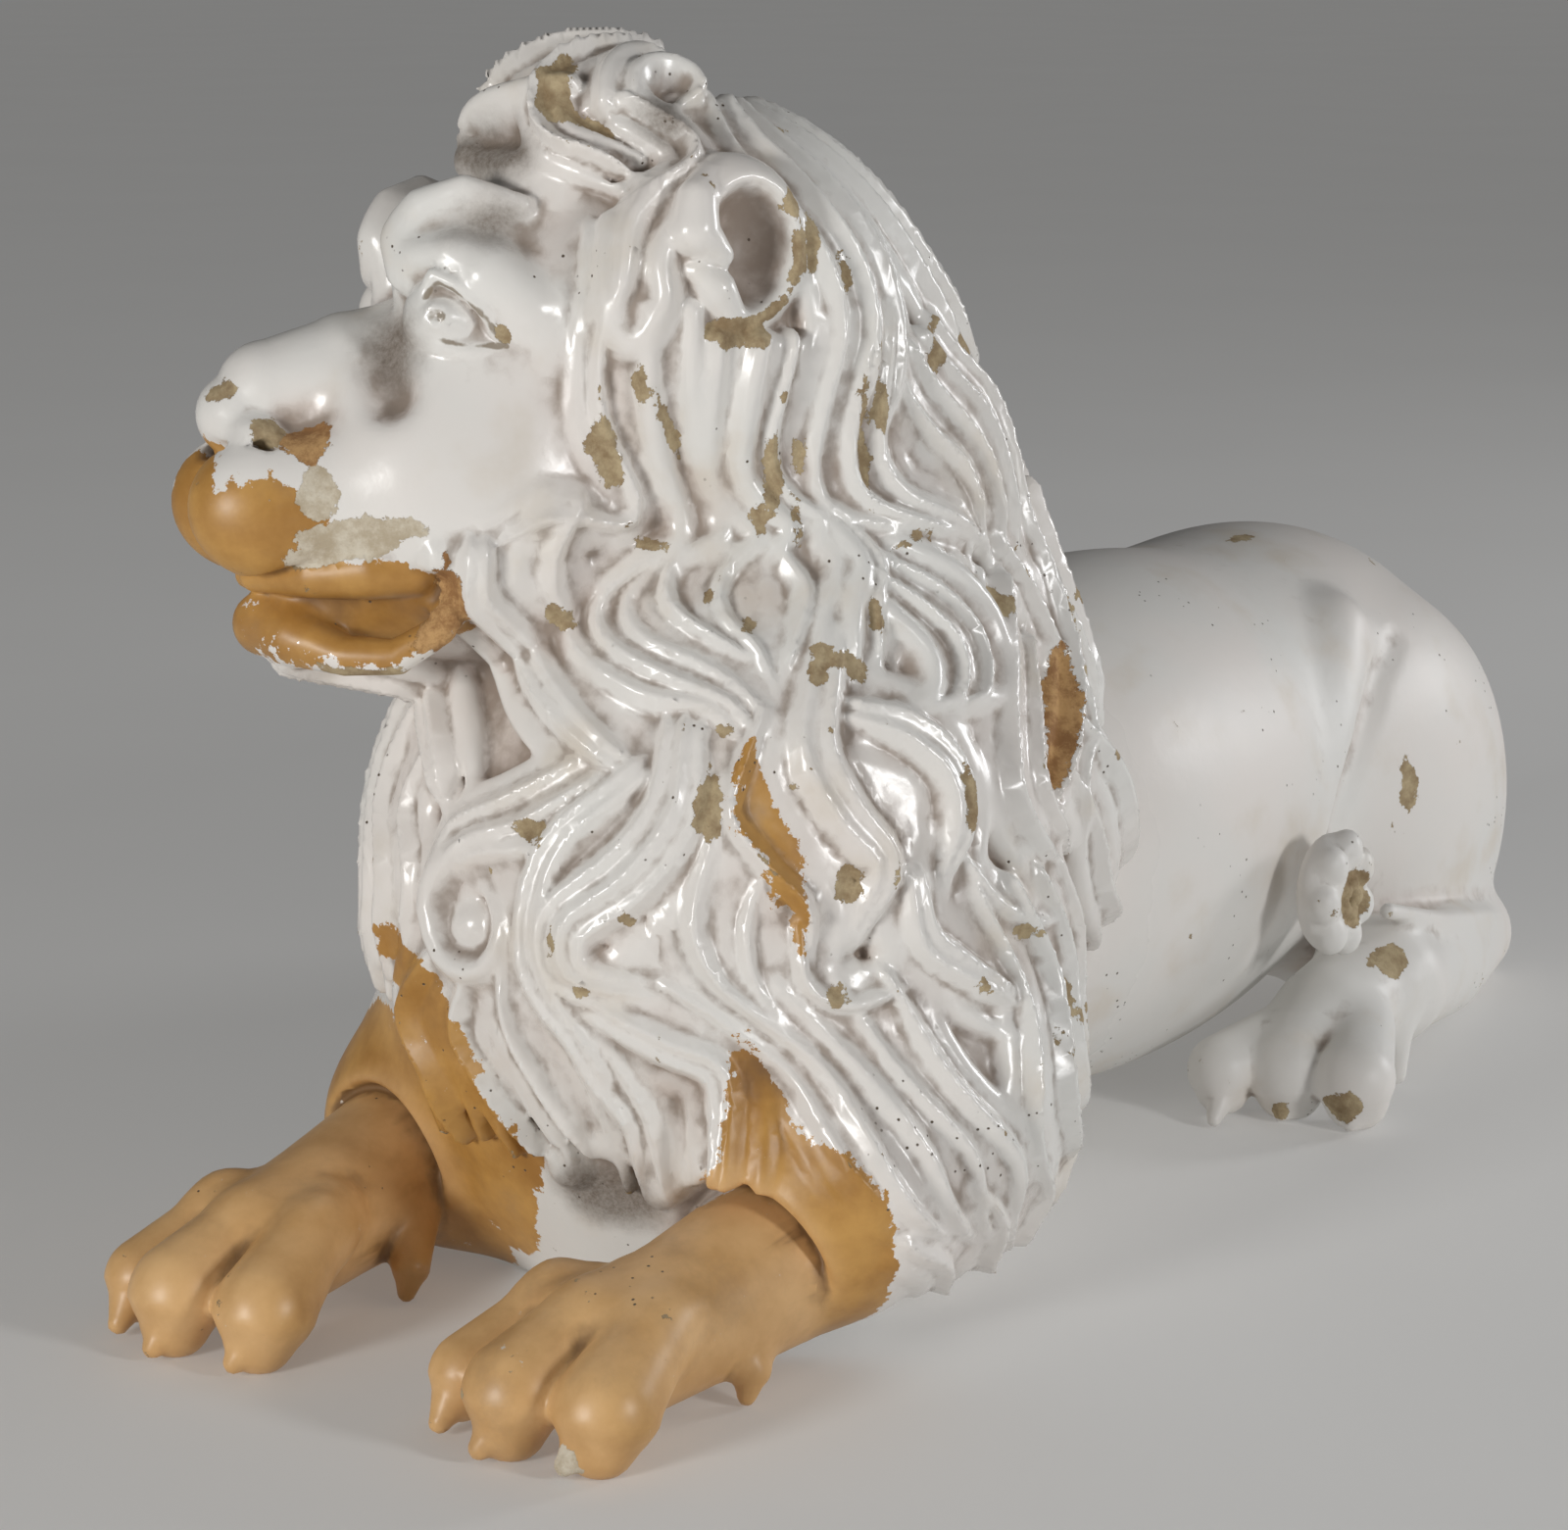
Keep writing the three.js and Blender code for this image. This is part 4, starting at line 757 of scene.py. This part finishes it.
def spread(values, times):
    """Each value becomes the mean of its own and its neighbours' mean, as often as times says."""
    ends = np.concatenate([edges[:, 0], edges[:, 1]])
    others = np.concatenate([edges[:, 1], edges[:, 0]])
    number = np.bincount(ends, minlength=len(values))
    for _ in range(times):
        mean = np.stack([np.bincount(ends, column[others], len(values)) for column in values.T], 1)
        values = (values + mean / number[:, None]) / 2
    return values


def keep(name, values):
    """Stores one number for each point of the mesh under a name that the material reads."""
    lion_mesh.attributes.new(name, "FLOAT", "POINT").data.foreach_set("value", values.astype(np.float32))


# how far smoothing, a little and a lot, moves the skin out along its normal: most in hollows
for name, times, after in (("hollow", 6, 1), ("dale", 40, 6)):
    risen = ((spread(place, times) - place) * normal).sum(1)
    keep(name, spread(risen[:, None], after)[:, 0])


def inside(*forms):
    """How deep each point lies in the nearest of some forms, in millimetres, negative outside."""
    return np.max([-form.dist(place.astype(np.float32)) for form in forms], axis=0)


# The ochre glaze covers the lips and the fore legs with the hair round the elbows; it is palest on
# the legs.
mouth = [form for s in (1, -1) for form in (
    InHead(Bar((134, 0, -97, 10), (114, 34 * s, -99, 14), (82, 52 * s, -100, 9))),
    InHead(Bar((132, 0, -117, 14), (116, 24 * s, -120, 13), (94, 44 * s, -120, 11), (68, 52 * s, -106, 8))),
    InHead(Ball((96, 38 * s, -108), (42, 30, 18))))]
keep("ochre", inside(
    *mouth, InHead(Ball((134, 0, -80), (38, 60, 30))), InHead(Ball((157, 6, -64), (22, 28, 21))),
    Bar((-285, -130, 60, 42), (-290, -130, 30, 46)), Bar((-280, -112, 100, 16), (-281, -104, 135, 3)),
    Bar((-300, -103, 40, 37), (-345, -96, 31, 48), (-400, -84, 20, 60)),
    Bar((-262, 88, 45, 66), (-352, 84, 31, 60), (-400, 84, 20, 60)),
    Bar((-303, 56, 150, 9), (-315, 36, 140, 14), (-312, 28, 112, 26), (-300, 20, 75, 34),
        (-285, 34, 40, 34)),
    # one lock of the mane is ochre too
    Bar((-263, -97, 247, 3), (-268, -99, 226, 8), (-264, -112, 204, 9), (-264, -121, 174, 5))))
keep("leg", inside(Bar((-300, -100, 40, 46), (-400, -84, 20, 50)),
                   Bar((-300, 88, 40, 46), (-400, 84, 20, 50))))

# Where glaze has flaked off, the bare buff clay shows. Places on the mane: bearing and height, then
# the width and height of the loss in millimetres.
LOSS_REACH = 45.0  # a loss counts only this far from its middle
NO_LOSS = -20.0
LOSSES = [
    (10, -6, 14, 10), (35, -2, 9, 22), (37.5, 8.5, 5, 5), (55, 20, 9, 8), (53, 17, 8, 8), (58, 19, 8, 8),
    (61.5, 17, 10, 10), (47, 0, 5, 4), (75, -4.5, 5, 22), (55, -13.5, 12, 13), (51.5, -25.5, 9, 5),
    (74, -27, 7, 8), (86, -23.5, 15, 6), (95, -31.5, 6, 12), (88, -33, 6, 6), (140, -21, 12, 18),
    (102, 23, 12, 16), (79, 37, 12, 5), (96, 30, 6, 6), (150, 22, 10, 14), (137, 15, 6, 6),
    (126, 11, 5, 26), (24.5, -16, 5, 5), (14.5, -18, 4, 12), (18.5, -24, 5, 5), (3, -13, 4, 4),
    (8, 25, 8, 8), (15, 46, 12, 16), (22, 52, 7, 7), (26, 51, 7, 7), (56, 52, 5, 8), (49, 49, 8, 22),
    (54, 44, 6, 16), (45, 43, 5, 9), (72, 55, 4, 18), (78, 54.5, 6, 20), (73, 50.5, 7, 22),
    (69, 64, 5, 8), (60, 66, 4, 12), (104, 58, 14, 8), (110, 61, 12, 4), (125, 56, 5, 14),
    (120, 39, 6, 12), (117, 30, 5, 5), (84, 38, 12, 6), (22, 39, 12, 6), (34.5, 31, 5, 6),
    (42, 26, 5, 7), (67, 26, 4, 9), (66, 79, 10, 5), (76, 79, 14, 5), (88, 78, 8, 5),
]


def flaked(rows):
    """How deep each point lies in the nearest of some oval losses on the mane, in millimetres."""
    rows = np.array(rows, float)
    bearings, heights, wides, highs = rows.T
    deepest = np.full(len(place), NO_LOSS)
    for centre, b, h, wide, high in zip(on_mass(bearings, heights), np.radians(bearings),
                                        np.radians(heights), wides / 2, highs / 2):
        q = place - centre
        aside = q @ (math.sin(b), -math.cos(b), 0)
        above = q @ (math.sin(h) * math.cos(b), math.sin(h) * math.sin(b), math.cos(h))
        away = (q * q).sum(1) > LOSS_REACH ** 2
        oval = (1 - np.sqrt((aside / wide) ** 2 + (above / high) ** 2)) * min(wide, high)
        deepest = np.maximum(deepest, np.where(away, NO_LOSS, oval))
    return deepest


keep("bare", np.maximum(flaked(LOSSES), inside(
    InHead(Ball((145, 8, -27), (9, 7, 6))), InHead(Ball((132, 23, -41), (7, 9, 6))),
    InHead(Ball((116, 36, -63), (9, 25, 10))), InHead(Ball((84, 13, 22), (3, 4, 8))),
    InHead(Bar((122, 32, -84, 9), (104, 44, -80, 10), (80, 53, -75, 7))),
    InHead(Bar((112, 31, -131, 4), (97, 39, -134, 5), (84, 45, -131, 4))),
    InHead(Ball((47, 59, -2), (3, 4, 4))), InHead(Ball((-18, 30, 101), (5, 4, 4))),
    InHead(Bar((-68, 78, 32, 4), (-62, 83, 12, 7), (-49, 85, 0, 7), (-33, 80, -2, 5))),
    InHead(Ball((-64, 79, 48), (5, 9, 6))), InHead(Ball((-26, 80, 52), (3, 6, 5))),
    InHead(Bar((14, 31, 101, 5), (22, 33, 94, 7), (23, 36, 84, 8), (13, 38, 75, 7), (3, 45, 72, 6))),
    Ball((260, -114, 130), (9, 10, 15)), Ball((67, -104, 95), (4, 8, 4)), Ball((252, -17, 248), (14, 5, 8)),
    Ball((192, -137, 62), (14, 10, 9)), Ball((150, -144, 102), (13, 14, 16)),
    Ball((106, -158, 12), (9, 12, 10)), Ball((104, -128, 6), (7, 8, 5)), Ball((-403, -113, 8), (7, 7, 7)))))
# thin ochre over bare clay, beside the nostril, at the mouth's corner and on a lock behind the shoulder
keep("stained", inside(InHead(Ball((119, 34, -41), (8, 10, 13))),
                       InHead(Bar((73, 58, -86, 4), (68, 59, -97, 6), (65, 56, -108, 6), (75, 51, -120, 5))),
                       Bar((-80, -121, 258, 5), (-88, -126, 238, 9), (-98, -130, 222, 9),
                           (-115, -138, 212, 5))))
# the hollows of the face, the forelock and the chest are greyed, partly by soot and handling, partly with
# painted shade
keep("soot_and_shade_depth", inside(InHead(Ball((83, 31, -10), (15, 20, 22))), InHead(Ball((53, 51, 41), (22, 14, 11))),
                    InHead(Ball((40, 10, 66), (24, 38, 14))),
                    Ball((-288, -42, 62), (26, 28, 20)), InHead(Ball((-18, 56, 80), (12, 16, 14))),
                    InHead(Bar((112, 32, -111, 4), (94, 44, -111, 6), (76, 50, -106, 5)))))
# beside the upper lip and on one claw the bared clay is clean and pale
keep("pale", inside(InHead(Ball((104, 46, -74), (36, 30, 22))), Ball((-403, -113, 8), (16, 16, 16))))

WARM_WHITE, COOL_WHITE = (0.82, 0.775, 0.735, 1), (0.785, 0.775, 0.745, 1)
CREAM, SHADE = (0.72, 0.66, 0.58, 1), (0.50, 0.39, 0.335, 1)
DIRT_AND_SHADE, SOOT_AND_SHADE = (0.25, 0.19, 0.145, 1), (0.18, 0.145, 0.115, 1)
DEEP_OCHRE, OCHRE = (0.38, 0.185, 0.042, 1), (0.60, 0.335, 0.095, 1)
DEEP_PEACH, PEACH = (0.57, 0.325, 0.125, 1), (0.74, 0.465, 0.215, 1)
DARK_CLAY, CLAY = (0.26, 0.18, 0.095, 1), (0.52, 0.42, 0.26, 1)
DULL_CLAY, PALE_CLAY = (0.46, 0.385, 0.275, 1), (0.64, 0.58, 0.47, 1)
DARK_RUST, RUST = (0.30, 0.15, 0.055, 1), (0.55, 0.33, 0.14, 1)
finish, shader, at = material("tin_glaze")


def value_of(name):
    return at.node("ShaderNodeAttribute", {"attribute_name": name}, 2)


def noise(scale, detail=3.0, rough=0.5):
    return at.node("ShaderNodeTexNoise", Vector=at, Scale=scale, Detail=detail, Roughness=rough) - 0.5


def stroke(*places):
    """The distance in millimetres from a chain through places in the head's frame, worked out in the shader
    so that a line finer than the mesh stays sharp: the length of away less its part along the stretch."""
    line = ((np.array(places, float) @ HEAD_AXES.T) + HEAD_AT + MIDDLE) * MM
    found = []
    for a, b in zip(line[:-1], line[1:]):
        step = b - a
        away = at.node("ShaderNodeVectorMath", {"operation": "SUBTRACT"}, i0=at, i1=tuple(a))
        pace = tuple(step / (step @ step))
        share = at.node("ShaderNodeVectorMath", {"operation": "DOT_PRODUCT"}, 1, i0=away, i1=pace)
        share = share.at_least(0.0).at_most(1.0)
        along = at.node("ShaderNodeVectorMath", {"operation": "SCALE"}, i0=tuple(step), i3=share)
        rest = at.node("ShaderNodeVectorMath", {"operation": "SUBTRACT"}, i0=away, i1=along)
        found.append(at.node("ShaderNodeVectorMath", {"operation": "LENGTH"}, 1, i0=rest) * 1000)
    nearest = found[0]
    for other in found[1:]:
        nearest = nearest.at_most(other)
    return nearest


hollow_here, dale_here = value_of("hollow"), value_of("dale")
fray = noise(300.0, 6.0, 0.75)
ragged = noise(100.0, 5.0, 0.7) * 20 + noise(38.0, 2.0) * 12 + fray * 7
ochre_here = (value_of("ochre") + ragged * 0.9).smooth(-0.25, 0.25)
bare_depth = value_of("bare") + ragged * 0.6
worn_crest = (noise(60.0, 5.0, 0.7) * 11 - hollow_here * 1.4 - 3.0).at_most(2.0)
clay = bare_depth.at_least(worn_crest).smooth(-0.12, 0.12)
rust = (value_of("stained") + ragged * 0.8).smooth(-0.2, 0.3)

cloud = noise(9.0).smooth(-0.2, 0.2)
white = cloud.blend(WARM_WHITE, COOL_WHITE)
white = noise(22.0, 5.0).smooth(0.02, 0.3).blend(white, CREAM)
shade = (dale_here * 0.42 + noise(60.0, 4.0) * 0.9).smooth(-0.1, 1.5) * 0.6
white = shade.blend(white, SHADE)
# grime and painted shade: the white glaze darkens in the fine hollows between the strands
dirt_and_shade = (hollow_here + noise(120.0, 4.0) * 1.2).smooth(0.1, 1.0) * 0.78
white = dirt_and_shade.blend(white, DIRT_AND_SHADE)
soot_and_shade = (value_of("soot_and_shade_depth") + noise(45.0, 6.0, 0.7) * 16).smooth(-6.0, 13.0) * (noise(420.0, 4.0, 0.8) + 0.95)
# the cut lines round the eyes and the pit of each pupil are painted dark brown
lids = None
for side in (1, -1):
    upper = stroke((77, 45 * side, 3), (74.5, 48 * side, 12), (70.5, 52 * side, 17), (63, 56 * side, 12.5),
                   (54, 59 * side, 4), (46, 59 * side, -7))
    lower = stroke((76, 46 * side, -2), (68, 53 * side, -5.5), (58, 57 * side, -6.5), (46, 59 * side, -7))
    pupil = stroke((74, 55 * side, 4.5), (72, 57 * side, 4.5)) - 1.6
    nearest = upper.at_most(lower).at_most(pupil)
    lids = nearest if lids is None else lids.at_most(nearest)
lids = (noise(150.0, 3.0) * 3 + 1.1 - lids).smooth(-0.3, 0.5)
white = (lids * 0.8).blend(white, (0.22, 0.17, 0.11, 1))

warm = noise(26.0, 5.0, 0.6)
gold = warm.smooth(-0.2, 0.25).blend(DEEP_OCHRE, OCHRE)
pale_gold = warm.smooth(-0.25, 0.2).blend(DEEP_PEACH, PEACH)
gold = value_of("leg").smooth(-14, 8).blend(gold, pale_gold)
gold = (noise(14.0, 6.0, 0.7).smooth(0.0, 0.22) * 0.4).blend(gold, (0.34, 0.21, 0.11, 1))
# grime and painted shade darken the ochre in its clefts and recesses
gold_dirt_and_shade = (hollow_here * 0.6 + dale_here * 0.35 + noise(70.0, 4.0) * 1.4).smooth(0.25, 1.6) * 0.85
gold = gold_dirt_and_shade.blend(gold, (0.15, 0.075, 0.028, 1))
gold = (noise(75.0, 5.0, 0.75) * 10 - 1.8).smooth(-0.1, 0.3).blend(gold, (0.68, 0.61, 0.52, 1))

buff = noise(85.0, 5.0, 0.7).smooth(-0.22, 0.22).blend(DARK_CLAY, CLAY)
mottled = noise(70.0, 6.0, 0.75)
pale = mottled.smooth(-0.12, 0.14).blend(DULL_CLAY, PALE_CLAY)
buff = (value_of("pale") + ragged).smooth(-1, 1).blend(buff, pale)
buff = rust.blend(buff, mottled.smooth(-0.1, 0.12).blend(DARK_RUST, RUST))
glaze = ochre_here.blend(white, gold)
# soot and painted shade grey the glaze in the face's hollows, the forelock and the chest
glaze = (soot_and_shade * 0.88).blend(glaze, SOOT_AND_SHADE)
holes = at.node("ShaderNodeTexVoronoi", Vector=at, Scale=170.0)
pin = (1 - holes.smooth(0.07, 0.13)) * noise(18.0, 2.0).smooth(0.07, 0.10)
glaze = pin.blend(glaze, (0.10, 0.075, 0.05, 1))
lost = clay.at_least(rust)
link(lost.blend(glaze, buff), shader, "Base Color")
# the body behind the mane, at greater X, is less glossy
matt = at.node("ShaderNodeSeparateXYZ", Vector=at).smooth(0.0, 0.10) * 0.24
gloss = 0.23 + matt + ochre_here * 0.17 + dirt_and_shade * 0.3 + soot_and_shade * 0.2 + noise(30.0) * 0.08
link((gloss + lost * 0.6).at_most(0.92), shader, "Roughness")
relief = noise(90.0, 4.0) * 0.5 - lost * 1.6 - pin * 0.8 + lost * noise(400.0, 3.0) * 1.2
link(at.node("ShaderNodeBump", Strength=0.6, Distance=0.0006, Height=relief), shader, "Normal")
shader.inputs["IOR"].default_value = 1.5
lion_mesh.materials.append(finish)

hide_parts("lion")
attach(lion_object, "root")
